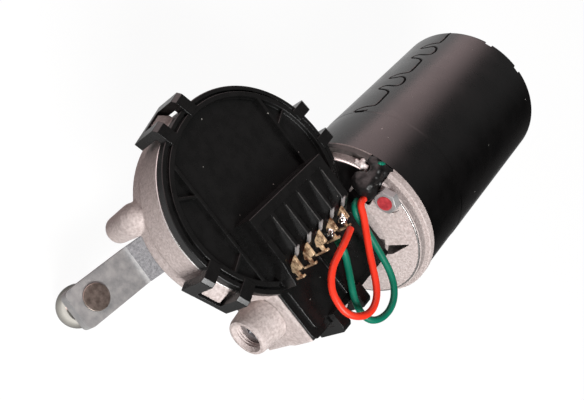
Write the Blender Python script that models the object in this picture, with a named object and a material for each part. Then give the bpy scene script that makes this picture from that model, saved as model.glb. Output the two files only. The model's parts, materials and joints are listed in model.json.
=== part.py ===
"""Wiper motor with its worm gearbox and crank, built from its separate pieces.

Frame, in metres: the origin lies on the output shaft's axis, in the end face of the boss
round it. +Z runs up the output shaft to the gearbox cover, +X from the output shaft to the
worm, and +Y along the motor to its rear end.
"""
import math

import bmesh
import bpy
from mathutils import Matrix, Vector

# Fits
SEAT_GAP = 0.0003
RUN_GAP = 0.00015
THREAD_GAP = 0.0002
WELD_DISTANCE = 0.000002
FLAT_ANGLE = math.radians(0.2)

# Gear train
GEAR_MODULE = 0.0012
GEAR_TEETH = 50
GEAR_FACE = 0.008
GEAR_WEB_DEPTH = 0.0018
WORM_PITCH_RADIUS = 0.0055
WORM_LENGTH = 0.025
WORM_HEIGHT = 0.0264
TOOTH_PLAY = 0.00045
PRESSURE_SLOPE = math.tan(math.radians(20))
WORM_STEPS_PER_TURN = 10

# Gear chamber and cover seat
CHAMBER_GAP = 0.001
CUP_WALL = 0.0026
FLOOR_THICKNESS = 0.0017
CUP_EDGE = 0.001
COVER_HEADROOM = 0.008
SEAL_THICKNESS = 0.0006

# Worm box beside the chamber
BOX_REACH = 0.0137
BOX_WALL = 0.0032
BOX_FRONT_Y = -0.0183
BOX_BOTTOM_RADIUS = 0.012
TROUGH_GAP = 0.0015
WORM_BOSS_LENGTH = 0.0114
WORM_BOSS_RADIUS = 0.0072
WORM_BOSS_TAPER = 0.0012
END_WEB_STEP = 0.0004
THRUST_HOLE_RADIUS = 0.0047
THRUST_SCREW_LENGTH = 0.0036
THRUST_BALL_RADIUS = 0.002
THRUST_SOCKET = 0.004
BUSH_WALL = 0.002
WORM_BUSH_LENGTH = 0.0038
FRONT_BUSH_LENGTH = 0.006
FRONT_BUSH_WALL = 0.004
FRONT_SEAT_Y = 0.025

# Motor flange of the gearbox
FLANGE_FRONT_Y = 0.033
FLANGE_THICKNESS = 0.0066
FLANGE_LIP = 0.0032
FLANGE_STEP = 0.002
FLANGE_RECESS = 0.0034
FLANGE_RECESS_WALL = 0.0035
FLANGE_CONE_DEPTH = 0.003
FLANGE_CONE_RADIUS = 0.018
SPIGOT_LENGTH = 0.0016
SPIGOT_WALL = 0.0012

# Mounting bosses, output boss and ribs under the gearbox
BOSS_CIRCLE_RADIUS = 0.0337
BOSS_ANGLES = (0.0, 118.5, -118.5)
BOSS_END_Z = 0.0055
BOSS_FOOT_RADIUS = 0.0047
BOSS_ROOT_RADIUS = 0.0056
BOSS_EDGE = 0.0008
BOSS_OVERLAP = 0.0055
BOSS_HOLE_RADIUS = 0.0026
BOSS_HOLE_DEPTH = 0.011
OUTPUT_BOSS_WALL = 0.003
OUTPUT_BOSS_END_Z = 0.0
RIB_THICKNESS = 0.003
RIB_DROP = 0.009

# Motor can and what it holds
CAN_RADIUS = 0.032
CAN_WALL = 0.0016
CAN_LENGTH = 0.0927
CAP_INSET = 0.003
CAP_THICKNESS = 0.0025
CAP_HUB_LENGTH = 0.009
CAP_HUB_WALL = 0.0035
REAR_BUSH_LENGTH = 0.006
MAGNET_THICKNESS = 0.0075
MAGNET_LENGTH = 0.048
MAGNET_ARC = 110.0
AIR_GAP = 0.001
SHAFT_RADIUS = 0.00375
CORE_FRONT_ROOM = 0.0041
CORE_REAR_ROOM = 0.0013
CORE_SLOTS = 12
CORE_SLOT_DEPTH = 0.009
CORE_SLOT_WIDTH = 0.003
WINDING_LENGTH = 0.0085
WINDING_INNER_RADIUS = 0.0085
WINDING_EDGE = 0.002
COMMUTATOR_RADIUS = 0.011
COMMUTATOR_LENGTH = 0.0094
BRUSH_PLATE_THICKNESS = 0.002
BRUSH_PLATE_BORE = 0.0132
BRUSH_WIDTH = 0.005
BRUSH_HEIGHT = 0.007
BRUSH_LENGTH = 0.009
BRUSH_BOX_WALL = 0.0008
BRUSH_BOX_END_GAP = 0.0012
BRUSH_ANGLES = (-90.0, 90.0, 30.0)
SPRING_WIRE = 0.0006
SPRING_COIL_RADIUS = 0.0017
SPRING_TURNS = 4
SPRING_POINTS_PER_TURN = 8

# Through bolts
BOLT_CIRCLE_RADIUS = 0.0276
BOLT_ANGLE = 98.1
BOLT_RADIUS = 0.00235
BOLT_HEAD_FLATS = 0.008
BOLT_HEAD_HEIGHT = 0.0033
BOLT_SPOT_MARGIN = 0.001

# Gearbox cover
COVER_THICKNESS = 0.002
COVER_OVERHANG = 0.0003
COVER_ROOM = 0.0005
COVER_RING_HEIGHT = 0.0018
COVER_RING_WIDTH = 0.0018
COVER_GROOVE_WIDTH = 0.0007
COVER_GROOVE_DEPTH = 0.0014
COVER_RIM_WIDTH = 0.0016
COVER_RIM_DROP = 0.0005
COVER_SPIGOT_WALL = 0.0015
COVER_SPIGOT_LENGTH = 0.0018
COVER_RIB_OFFSET = 0.0215
COVER_RIB_THICKNESS = 0.0012
COVER_PLATE_DROP = 0.0004
COVER_PLATE_STEP = 0.0009
COVER_PLATE_BORDER = 0.0024
COVER_RADIAL_RIB_ANGLES = (63.0, 117.0, -63.0, -117.0)

# Terminal block on the cover and its five terminals
BLOCK_BACK_X = 0.004
BLOCK_LENGTH = 0.0246
BLOCK_HEIGHT = 0.0086
BLOCK_TOP_LENGTH = 0.0167
BLOCK_SLOPE_LENGTH = 0.0061
BLOCK_TOE_HEIGHT = 0.0016
BLOCK_LEFT_Y = -0.0169
BLOCK_RIGHT_Y = 0.0222
BLOCK_WALL = 0.0015
BLOCK_RIB_RISE = 0.0012
TERMINAL_COUNT = 5
TERMINAL_PITCH = 0.00695
TERMINAL_FIRST_Y = -0.0118
TERMINAL_THICKNESS = 0.001
TERMINAL_PRONG = 0.0008
TERMINAL_PRONG_HEIGHT = 0.0069
TERMINAL_NECK_RISE = 0.0043
TERMINAL_NECK = 0.0012

# Clips that hold the cover on the gearbox
CLIP_ANGLES = (-163.0, -65.0, 96.0)
CLIP_WIDTH = 0.017
CLIP_POST_WIDTH = 0.0042
CLIP_LEG = 0.0021
CLIP_STANDOFF = 0.0011
CLIP_DROP = 0.0095
CLIP_BAR = 0.0026
CLIP_ARM = 0.0026
SIDE_CLIP_Y = -0.0004
SIDE_CLIP_STANDOFF = 0.0006
CLIP_ROOM = 0.0004
LUG_GAP = 0.0007
LUG_HEIGHT = 0.0042

# Park switch under the cover
CONTACT_DISC_THICKNESS = 0.0008
CONTACT_DISC_INNER = 0.009
CONTACT_DISC_OUTER = 0.024
CONTACT_GAP = 0.0005
FINGER_THICKNESS = 0.0004
FINGER_WIDTH = 0.003
FINGER_SPACING = 0.009
FINGER_FOOT_X = (0.021, 0.027)
FINGER_TIP_X = 0.012

# Output shaft, crank arm and ball stud
OUTPUT_SHAFT_RADIUS = 0.005
OUTPUT_THREAD_RADIUS = 0.004
OUTPUT_BUSH_WALL = 0.002
OUTPUT_SEAL_LENGTH = 0.002
WASHER_THICKNESS = 0.0006
WASHER_RADIUS = 0.011
SHAFT_CLIP_RADIUS = 0.0084
SHAFT_CLIP_THICKNESS = 0.001
SHAFT_TIP = 0.0018
BRACKET_ROOM = 0.0042
ARM_THICKNESS = 0.005
ARM_WIDTH = 0.0152
ARM_LENGTH = 0.0434
ARM_TIP = 0.0085
ARM_JOGGLE = 0.0068
ARM_BEND_START = 0.016
ARM_BEND_END = 0.0245
ARM_CORNER = 0.0014
CRANK_ANGLE = -93.0
LOCK_WASHER_THICKNESS = 0.0016
LOCK_WASHER_RADIUS = 0.0072
CRANK_NUT_FLATS = 0.013
CRANK_NUT_HEIGHT = 0.0065
SHAFT_END_LENGTH = 0.002
RIVET_RADIUS = 0.0049
RIVET_HEIGHT = 0.0005
STUD_SHANK_RADIUS = 0.004
STUD_COLLAR_RADIUS = 0.0072
STUD_COLLAR_HEIGHT = 0.0019
STUD_NECK_RADIUS = 0.0043
STUD_NECK_LENGTH = 0.0021
BALL_RADIUS = 0.008

# Jumper wires between the terminals and the motor, and their grommet
WIRE_RADIUS = 0.00125
WIRE_POINT_SPACING = 0.0022
GROMMET_ANGLE = 117.4
GROMMET_INNER_RADIUS = 0.0196
GROMMET_OUTER_RADIUS = 0.0336
GROMMET_WIDTH = 0.0084
GROMMET_FRONT_Y = 0.0274
GROMMET_EDGE = 0.0016
RED_ROUTE = (
    (0.0302, 0.0151, 0.0483), (0.0307, 0.0129, 0.0486), (0.0318, 0.0087, 0.0488),
    (0.0330, 0.0039, 0.0485), (0.0345, -0.0003, 0.0480), (0.0371, -0.0040, 0.0476),
    (0.0406, -0.0066, 0.0475), (0.0459, -0.0075, 0.0475), (0.0493, -0.0066, 0.0475),
    (0.0521, -0.0044, 0.0475), (0.0541, -0.0011, 0.0475), (0.0545, 0.0028, 0.0475),
    (0.0529, 0.0070, 0.0475), (0.0497, 0.0103, 0.0475), (0.0457, 0.0131, 0.0475),
    (0.0414, 0.0157, 0.0477), (0.0375, 0.0183, 0.0480), (0.0338, 0.0207, 0.0484),
    (0.0305, 0.0226, 0.0489), (0.0277, 0.0239, 0.0492), (0.0265, 0.0252, 0.0494),
    (0.0263, 0.0271, 0.0494),
)
GREEN_ROUTE = (
    (0.0302, 0.00905, 0.0461), (0.0325, 0.0094, 0.0457), (0.0356, 0.0093, 0.0449), (0.0402, 0.0072, 0.0442),
    (0.0444, 0.0047, 0.0438), (0.0483, 0.0025, 0.0434), (0.0520, 0.0013, 0.0432), (0.0556, 0.0011, 0.0432),
    (0.0588, 0.0027, 0.0433), (0.0609, 0.0064, 0.0434), (0.0614, 0.0112, 0.0435), (0.0599, 0.0161, 0.0435),
    (0.0564, 0.0199, 0.0435), (0.0516, 0.0221, 0.0435), (0.0467, 0.0230, 0.0436), (0.0410, 0.0237, 0.0439),
    (0.0362, 0.0240, 0.0443), (0.0318, 0.0237, 0.0449), (0.0286, 0.0237, 0.0456), (0.0264, 0.0249, 0.0462),
    (0.0260, 0.0271, 0.0463),
)

# Facets of round pieces
FINE = 48
MEDIUM = 32
COARSE = 20
FILLET_STEPS = 4

# Sizes that follow from the values above
GEAR_PITCH_RADIUS = GEAR_MODULE * GEAR_TEETH / 2
GEAR_TIP_RADIUS = GEAR_PITCH_RADIUS + GEAR_MODULE
GEAR_ROOT_RADIUS = GEAR_PITCH_RADIUS - 1.25 * GEAR_MODULE
WORM_TIP_RADIUS = WORM_PITCH_RADIUS + GEAR_MODULE
WORM_ROOT_RADIUS = WORM_PITCH_RADIUS - 1.25 * GEAR_MODULE
TOOTH_PITCH = math.pi * GEAR_MODULE
TOOTH_HALF = TOOTH_PITCH / 4 - TOOTH_PLAY / 2
TIP_HALF = TOOTH_HALF - GEAR_MODULE * PRESSURE_SLOPE
ROOT_HALF = TOOTH_HALF + 1.25 * GEAR_MODULE * PRESSURE_SLOPE
WORM_X = GEAR_PITCH_RADIUS + WORM_PITCH_RADIUS
MOTOR_CENTRE = Vector((WORM_X, 0, WORM_HEIGHT))
GEAR_LOW = WORM_HEIGHT - GEAR_FACE / 2
GEAR_TOP = WORM_HEIGHT + GEAR_FACE / 2
CUP_INNER = GEAR_TIP_RADIUS + CHAMBER_GAP
CUP_RADIUS = CUP_INNER + CUP_WALL
CHAMBER_FLOOR = GEAR_LOW - 2 * SEAT_GAP - WASHER_THICKNESS
CUP_BOTTOM = CHAMBER_FLOOR - FLOOR_THICKNESS
RIM_Z = GEAR_TOP + COVER_HEADROOM
BOX_SIDE_X = WORM_X + BOX_REACH
TROUGH_RADIUS = WORM_TIP_RADIUS + TROUGH_GAP
TROUGH_FRONT_Y = BOX_FRONT_Y + BOX_WALL + 0.0005
TROUGH_REAR_Y = FRONT_SEAT_Y - 0.002
WORM_BOSS_Y = BOX_FRONT_Y - WORM_BOSS_LENGTH
SHAFT_FRONT_Y = TROUGH_FRONT_Y - WORM_BUSH_LENGTH + SEAT_GAP
FLANGE_REAR_Y = FLANGE_FRONT_Y + FLANGE_THICKNESS
FLANGE_RADIUS = CAN_RADIUS + 0.0004
CAN_FRONT_Y = FLANGE_REAR_Y + SEAT_GAP
CAN_REAR_Y = CAN_FRONT_Y + CAN_LENGTH
CAN_INNER = CAN_RADIUS - CAN_WALL
CAP_REAR_Y = CAN_REAR_Y - CAP_INSET
CAP_FRONT_Y = CAP_REAR_Y - CAP_THICKNESS
SHAFT_BORE = SHAFT_RADIUS + RUN_GAP
WORM_BUSH_RADIUS = SHAFT_BORE + BUSH_WALL
FRONT_BUSH_RADIUS = SHAFT_BORE + FRONT_BUSH_WALL
CORE_RADIUS = CAN_INNER - SEAT_GAP - MAGNET_THICKNESS - AIR_GAP
COVER_LOW = RIM_Z + 2 * SEAT_GAP + SEAL_THICKNESS
COVER_FACE = COVER_LOW + COVER_THICKNESS
COVER_RADIUS = CUP_RADIUS + COVER_OVERHANG
COVER_RING_TOP = COVER_FACE + COVER_RING_HEIGHT
COVER_RING_OUTER = COVER_RADIUS - COVER_RIM_WIDTH - COVER_GROOVE_WIDTH
COVER_RING_INNER = COVER_RING_OUTER - COVER_RING_WIDTH
PLATE_TOP = COVER_FACE - COVER_PLATE_DROP
BLOCK_TOP = COVER_FACE + BLOCK_HEIGHT
CLIP_INNER = CUP_RADIUS + CLIP_STANDOFF
CLIP_OUTER = CLIP_INNER + CLIP_LEG
CLIP_LOW = COVER_LOW - CLIP_DROP
OUTPUT_BORE = OUTPUT_SHAFT_RADIUS + RUN_GAP
OUTPUT_BUSH_RADIUS = OUTPUT_BORE + OUTPUT_BUSH_WALL
OUTPUT_BOSS_RADIUS = OUTPUT_BUSH_RADIUS + SEAT_GAP + OUTPUT_BOSS_WALL
ARM_TOP = -BRACKET_ROOM
ARM_LOW = ARM_TOP - ARM_THICKNESS
LOCK_WASHER_TOP = ARM_LOW - SEAT_GAP
NUT_TOP = LOCK_WASHER_TOP - LOCK_WASHER_THICKNESS - SEAT_GAP
SHAFT_END_Z = NUT_TOP - CRANK_NUT_HEIGHT - SHAFT_END_LENGTH
BRUSH_PLATE_Y = FLANGE_REAR_Y + SPIGOT_LENGTH + SEAT_GAP
BRUSH_BOX_Y = BRUSH_PLATE_Y + BRUSH_PLATE_THICKNESS + SEAT_GAP
BRUSH_Y = BRUSH_BOX_Y + BRUSH_BOX_WALL + SEAT_GAP + BRUSH_HEIGHT / 2
BRUSH_START = COMMUTATOR_RADIUS + SEAT_GAP
COMMUTATOR_END_Y = BRUSH_Y + COMMUTATOR_LENGTH / 2
CORE_START_Y = COMMUTATOR_END_Y + CORE_FRONT_ROOM + WINDING_LENGTH + SEAT_GAP
CORE_END_Y = CAP_FRONT_Y - CAP_HUB_LENGTH - CORE_REAR_ROOM - WINDING_LENGTH - SEAT_GAP
BRUSH_END = BRUSH_START + BRUSH_LENGTH
BRUSH_BOX_END = CAN_INNER - BRUSH_BOX_END_GAP

# World turn of a piece built along its own Z so that it lies along +Y
ALONG_Y = Matrix.Rotation(math.radians(-90), 4, "X")


def remove_all_objects():
    for item in list(bpy.data.objects):
        bpy.data.objects.remove(item, do_unlink=True)


def material(name, colour, roughness, metallic):
    finish = bpy.data.materials.new(name)
    finish.use_nodes = True
    shader = finish.node_tree.nodes["Principled BSDF"]
    shader.inputs["Base Color"].default_value = (*colour, 1)
    shader.inputs["Roughness"].default_value = roughness
    shader.inputs["Metallic"].default_value = metallic
    return finish


def solid(name, shape, finish=None, turn=None):
    """Turn a bmesh into an object, with round faces shaded smooth."""
    if turn is not None:
        bmesh.ops.transform(shape, matrix=turn, verts=shape.verts)
    bmesh.ops.recalc_face_normals(shape, faces=shape.faces)
    mesh = bpy.data.meshes.new(name)
    shape.to_mesh(mesh)
    shape.free()
    if finish is not None:
        mesh.materials.append(finish)
    mesh.shade_smooth()
    mesh.set_sharp_from_angle(angle=math.radians(35))
    item = bpy.data.objects.new(name, mesh)
    bpy.context.scene.collection.objects.link(item)
    return item


def combine(base, tools, operation):
    """Join the tool objects to the base, or cut them from it, and remove them."""
    for tool in tools:
        modifier = base.modifiers.new("combine", "BOOLEAN")
        modifier.operation = operation
        modifier.solver = "EXACT"
        modifier.object = tool
        view = bpy.context.evaluated_depsgraph_get()
        result = bpy.data.meshes.new_from_object(base.evaluated_get(view))
        base.modifiers.remove(modifier)
        base.data = result
        bpy.data.objects.remove(tool, do_unlink=True)
        weld(result)
    base.data.shade_smooth()
    base.data.set_sharp_from_angle(angle=math.radians(35))
    return base


def weld(mesh):
    """Merge the corners that a cut leaves on top of each other."""
    tidy = bmesh.new()
    tidy.from_mesh(mesh)
    bmesh.ops.remove_doubles(tidy, verts=tidy.verts, dist=WELD_DISTANCE)
    bmesh.ops.dissolve_degenerate(tidy, edges=tidy.edges, dist=WELD_DISTANCE)
    bmesh.ops.dissolve_limit(tidy, angle_limit=FLAT_ANGLE, use_dissolve_boundaries=False,
                             verts=tidy.verts, edges=tidy.edges, delimit=set())
    bmesh.ops.triangulate(tidy, faces=[face for face in tidy.faces if len(face.verts) > 4])
    tidy.to_mesh(mesh)
    tidy.free()


def join(base, *tools):
    return combine(base, tools, "UNION")


def cut(base, *tools):
    return combine(base, tools, "DIFFERENCE")


def turned(profile, facets):
    """A body turned about Z from (radius, height) points, listed round its section."""
    shape = bmesh.new()
    points = [shape.verts.new((radius, 0, height)) for radius, height in profile]
    pairs = list(zip(points, points[1:] + points[:1]))
    if profile[0][0] == 0 and profile[-1][0] == 0:
        pairs.pop()
    edges = [shape.edges.new(pair) for pair in pairs]
    bmesh.ops.spin(shape, geom=points + edges, cent=(0, 0, 0), axis=(0, 0, 1),
                   angle=2 * math.pi, steps=facets, use_merge=True)
    bmesh.ops.remove_doubles(shape, verts=shape.verts, dist=1e-7)
    return shape


def ring(inner, outer, low, high, facets):
    return turned([(inner, low), (outer, low), (outer, high), (inner, high)], facets)


def rod(radius, low, high, facets):
    return turned([(0, low), (radius, low), (radius, high), (0, high)], facets)


def prism(outline, low, high):
    """An outline of (x, y) points extruded along Z."""
    shape = bmesh.new()
    face = shape.faces.new([shape.verts.new((x, y, low)) for x, y in outline])
    grown = bmesh.ops.extrude_face_region(shape, geom=[face])
    lifted = [part for part in grown["geom"] if isinstance(part, bmesh.types.BMVert)]
    bmesh.ops.translate(shape, verts=lifted, vec=(0, 0, high - low))
    return shape


def box(low, high):
    outline = [(low[0], low[1]), (high[0], low[1]), (high[0], high[1]), (low[0], high[1])]
    return prism(outline, low[2], high[2])


def side_prism(outline, low, high):
    """An outline of (x, z) points extruded along Y."""
    shape = prism([(x, z) for x, z in outline], -high, -low)
    bmesh.ops.transform(shape, matrix=Matrix.Rotation(math.radians(90), 4, "X"), verts=shape.verts)
    return shape


def arc(centre, radius, start, end, steps):
    """Points on an arc between two angles in degrees, both ends included."""
    angles = [math.radians(start + (end - start) * step / steps) for step in range(steps + 1)]
    return [(centre[0] + radius * math.cos(a), centre[1] + radius * math.sin(a)) for a in angles]


def rounded(shape, width, steps=FILLET_STEPS):
    """Round every edge of a convex shape."""
    bmesh.ops.bevel(shape, geom=list(shape.edges), offset=width, segments=steps, profile=0.5,
                    affect="EDGES", clamp_overlap=True, material=-1)
    return shape


def motor_turn():
    """Places a piece built along Z on the motor's axis."""
    return Matrix.Translation(MOTOR_CENTRE) @ ALONG_Y


def motor_spoke(angle):
    """Local X points out from the motor's axis, at an angle from +X towards +Z; local Z is +Y."""
    spoke = Matrix.Rotation(math.radians(-angle), 4, "Z")
    return motor_turn() @ spoke


def spread(angle, radius):
    return (radius * math.cos(math.radians(angle)), radius * math.sin(math.radians(angle)))


def bolt_centre(angle):
    along, up = spread(angle, BOLT_CIRCLE_RADIUS)
    return MOTOR_CENTRE + Vector((along, 0, up))


def on_motor(name, shape, finish=None):
    return solid(name, shape, finish, motor_turn())


def on_bolt(name, shape, angle, finish=None):
    return solid(name, shape, finish, Matrix.Translation(bolt_centre(angle)) @ ALONG_Y)


def hexagon(flats):
    return [spread(60 * side + 30, flats / math.sqrt(3)) for side in range(6)]


def clip_places():
    """Matrices that take a clip drawn on the cup's wall to each clip's place."""
    places = [Matrix.Rotation(math.radians(angle), 4, "Z") for angle in CLIP_ANGLES]
    places.append(Matrix.Translation((BOX_SIDE_X + SIDE_CLIP_STANDOFF - CUP_RADIUS, SIDE_CLIP_Y, 0)))
    return places


def worm_box_outline(wall):
    """Cross-section of the worm box, (x, z), drawn in by a wall thickness."""
    centre = (WORM_X, WORM_HEIGHT)
    radius = BOX_BOTTOM_RADIUS - wall
    side = BOX_SIDE_X - wall
    inner = WORM_X - BOX_BOTTOM_RADIUS + wall
    bottom = arc(centre, radius, 0, -180, 14)
    return [(inner, RIM_Z), (side, RIM_Z), (side, WORM_HEIGHT + BOX_REACH - BOX_BOTTOM_RADIUS)] + bottom


def gear_housing(finish):
    housing = solid("gear_housing", turned(
        [(0, CUP_BOTTOM), (CUP_RADIUS - CUP_EDGE, CUP_BOTTOM), (CUP_RADIUS, CUP_BOTTOM + CUP_EDGE),
         (CUP_RADIUS, RIM_Z), (0, RIM_Z)], FINE), finish)
    parts = [solid("worm_box", side_prism(worm_box_outline(0), BOX_FRONT_Y, FLANGE_FRONT_Y + 0.001))]
    end_low = WORM_HEIGHT - BOX_BOTTOM_RADIUS
    web = box((WORM_X - BOX_BOTTOM_RADIUS + 0.0012, BOX_FRONT_Y - END_WEB_STEP, end_low),
              (BOX_SIDE_X - 0.0008, BOX_FRONT_Y + BOX_WALL, RIM_Z - 0.0005))
    parts.append(solid("end_web", web))
    lip_front = FLANGE_REAR_Y - FLANGE_LIP
    neck = FLANGE_RADIUS - FLANGE_STEP
    spigot = CAN_INNER - SEAT_GAP
    spigot_end = FLANGE_REAR_Y + SPIGOT_LENGTH
    recess = CAN_INNER - FLANGE_RECESS_WALL
    parts.append(on_motor("flange", turned(
        [(0, FLANGE_FRONT_Y - FLANGE_CONE_DEPTH), (FLANGE_CONE_RADIUS, FLANGE_FRONT_Y - FLANGE_CONE_DEPTH),
         (neck - 0.0012, FLANGE_FRONT_Y), (neck, FLANGE_FRONT_Y + 0.0008), (neck, lip_front - 0.0003),
         (FLANGE_RADIUS, lip_front), (FLANGE_RADIUS, FLANGE_REAR_Y),
         (spigot, FLANGE_REAR_Y), (spigot, spigot_end),
         (spigot - SPIGOT_WALL, spigot_end), (spigot - SPIGOT_WALL, FLANGE_REAR_Y), (recess, FLANGE_REAR_Y),
         (recess, FLANGE_REAR_Y - FLANGE_RECESS), (0, FLANGE_REAR_Y - FLANGE_RECESS)], FINE)))
    output_boss = rod(OUTPUT_BOSS_RADIUS, OUTPUT_BOSS_END_Z, CUP_BOTTOM + 0.001, MEDIUM)
    parts.append(solid("output_boss", output_boss))
    for angle in BOSS_ANGLES:
        x, y = spread(angle, BOSS_CIRCLE_RADIUS)
        top = CUP_BOTTOM + BOSS_OVERLAP if angle else WORM_HEIGHT - TROUGH_RADIUS - 0.001
        post = turned([(0, BOSS_END_Z), (BOSS_FOOT_RADIUS - BOSS_EDGE, BOSS_END_Z),
                       (BOSS_FOOT_RADIUS, BOSS_END_Z + BOSS_EDGE), (BOSS_ROOT_RADIUS, top - 0.002),
                       (BOSS_ROOT_RADIUS - 0.002, top), (0, top)], COARSE)
        parts.append(solid("boss", post, turn=Matrix.Translation((x, y, 0))))
        rib = box((OUTPUT_BOSS_RADIUS - 0.001, -RIB_THICKNESS / 2, CUP_BOTTOM - RIB_DROP),
                  (BOSS_CIRCLE_RADIUS - BOSS_FOOT_RADIUS / 2, RIB_THICKNESS / 2, CUP_BOTTOM + 0.001))
        parts.append(solid("rib", rib, turn=Matrix.Rotation(math.radians(angle), 4, "Z")))
    lug_half = CLIP_WIDTH / 2 - CLIP_POST_WIDTH - LUG_GAP
    lug_low = CLIP_LOW + CLIP_BAR + LUG_GAP
    for place in clip_places():
        lug = side_prism([(CUP_RADIUS - 0.002, lug_low), (CLIP_OUTER - 0.0004, lug_low),
                          (CLIP_INNER, lug_low + LUG_HEIGHT), (CUP_RADIUS - 0.002, lug_low + LUG_HEIGHT)],
                         -lug_half, lug_half)
        parts.append(solid("lug", lug, turn=place))
    join(housing, *parts)
    hollows = [solid("chamber", rod(CUP_INNER, CHAMBER_FLOOR, RIM_Z + 0.002, FINE))]
    trough = [(WORM_X - TROUGH_RADIUS, RIM_Z + 0.002), (BOX_SIDE_X - BOX_WALL, RIM_Z + 0.002),
              (BOX_SIDE_X - BOX_WALL, WORM_HEIGHT + 0.004), (WORM_X + TROUGH_RADIUS, WORM_HEIGHT + 0.002)]
    trough += arc((WORM_X, WORM_HEIGHT), TROUGH_RADIUS, 0, -180, 14)
    hollows.append(solid("trough", side_prism(trough, TROUGH_FRONT_Y, TROUGH_REAR_Y)))
    bush_seat = WORM_BUSH_RADIUS + SEAT_GAP
    bush_end = TROUGH_FRONT_Y - WORM_BUSH_LENGTH - 2 * SEAT_GAP
    hollows.append(on_motor("worm_bush_seat", rod(bush_seat, bush_end, TROUGH_FRONT_Y + 0.002, COARSE)))
    hollows.append(on_motor("thrust_hole", rod(THRUST_HOLE_RADIUS, BOX_FRONT_Y - 0.002,
                                               TROUGH_FRONT_Y - 0.001, COARSE)))
    front_seat = FRONT_BUSH_RADIUS + SEAT_GAP
    hollows.append(on_motor("front_bush_seat", rod(front_seat, FRONT_SEAT_Y,
                                                   FLANGE_REAR_Y + 0.005, COARSE)))
    hollows.append(on_motor("shaft_way", rod(SHAFT_RADIUS + 0.001, TROUGH_REAR_Y - 0.002,
                                             FRONT_SEAT_Y + 0.002, COARSE)))
    for angle in (BOLT_ANGLE, BOLT_ANGLE + 180):
        hole = rod(BOLT_RADIUS + SEAT_GAP, FLANGE_FRONT_Y - 0.01, FLANGE_REAR_Y + 0.005, COARSE)
        hollows.append(on_bolt("bolt_hole", hole, angle))
        spot = rod(BOLT_HEAD_FLATS / math.sqrt(3) + BOLT_SPOT_MARGIN, FLANGE_FRONT_Y - 0.008,
                   FLANGE_FRONT_Y + 0.0001, COARSE)
        hollows.append(on_bolt("bolt_spot", spot, angle))
    half_notch = GROMMET_WIDTH / 2 + SEAT_GAP
    notch = box((GROMMET_INNER_RADIUS - SEAT_GAP, -half_notch, GROMMET_FRONT_Y),
                (FLANGE_RADIUS + 0.004, half_notch, spigot_end + 0.001))
    hollows.append(solid("notch", notch, turn=motor_spoke(GROMMET_ANGLE)))
    post_start = CLIP_WIDTH / 2 - CLIP_POST_WIDTH - CLIP_ROOM
    post_end = CLIP_WIDTH / 2 + CLIP_ROOM
    for place in clip_places()[2:3]:
        for low, high in ((post_start, post_end), (-post_end, -post_start)):
            room = box((CLIP_INNER - CLIP_ROOM, low, CLIP_LOW - CLIP_ROOM),
                       (CLIP_OUTER + CLIP_ROOM, high, COVER_LOW))
            hollows.append(solid("clip_room", room, turn=place))
    hollows.append(solid("cover_room", rod(COVER_RADIUS + COVER_ROOM, RIM_Z + 0.0001, RIM_Z + 0.012, FINE)))
    hollows.append(solid("output_bore", rod(OUTPUT_BUSH_RADIUS + SEAT_GAP, OUTPUT_BOSS_END_Z - 0.002,
                                            CHAMBER_FLOOR + 0.002, MEDIUM)))
    for angle in BOSS_ANGLES:
        x, y = spread(angle, BOSS_CIRCLE_RADIUS)
        end = BOSS_END_Z + BOSS_HOLE_DEPTH
        hole = turned([(0, BOSS_END_Z - 0.002), (BOSS_HOLE_RADIUS, BOSS_END_Z - 0.002),
                       (BOSS_HOLE_RADIUS, end - 0.0015), (0, end)], COARSE)
        hollows.append(solid("boss_hole", hole, turn=Matrix.Translation((x, y, 0))))
    return cut(housing, *hollows)


def worm_end_boss(finish):
    """The boss on the end web, open at its front for the thrust screw."""
    end = BOX_FRONT_Y - END_WEB_STEP - SEAT_GAP
    radius = WORM_BOSS_RADIUS
    boss = on_motor("worm_end_boss", turned(
        [(THRUST_HOLE_RADIUS, WORM_BOSS_Y), (radius - 0.0006, WORM_BOSS_Y), (radius, WORM_BOSS_Y + 0.0012),
         (radius + WORM_BOSS_TAPER, end), (THRUST_HOLE_RADIUS, end)], COARSE), finish)
    return cut(boss, solid("cup_room", rod(CUP_RADIUS + SEAT_GAP, CUP_BOTTOM - 0.002, RIM_Z, FINE)))


def cover_clip(place):
    """One clip: two posts over the rim, joined by a bar below the gearbox's lug."""
    half = CLIP_WIDTH / 2
    arm_low = COVER_LOW + 0.0004
    arm_top = arm_low + CLIP_ARM
    profile = [(COVER_RADIUS - 0.0018, arm_low), (CLIP_INNER, arm_low), (CLIP_INNER, CLIP_LOW),
               (CLIP_OUTER, CLIP_LOW), (CLIP_OUTER, arm_top - 0.0012), (CLIP_OUTER - 0.0012, arm_top),
               (COVER_RADIUS - 0.0018, arm_top)]
    clip = solid("clip", side_prism(profile, -half, half), turn=place)
    window = box((COVER_RADIUS - 0.005, CLIP_POST_WIDTH - half, CLIP_LOW + CLIP_BAR),
                 (CLIP_OUTER + 0.002, half - CLIP_POST_WIDTH, arm_top + 0.002))
    return cut(clip, solid("window", window, turn=place))


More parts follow.
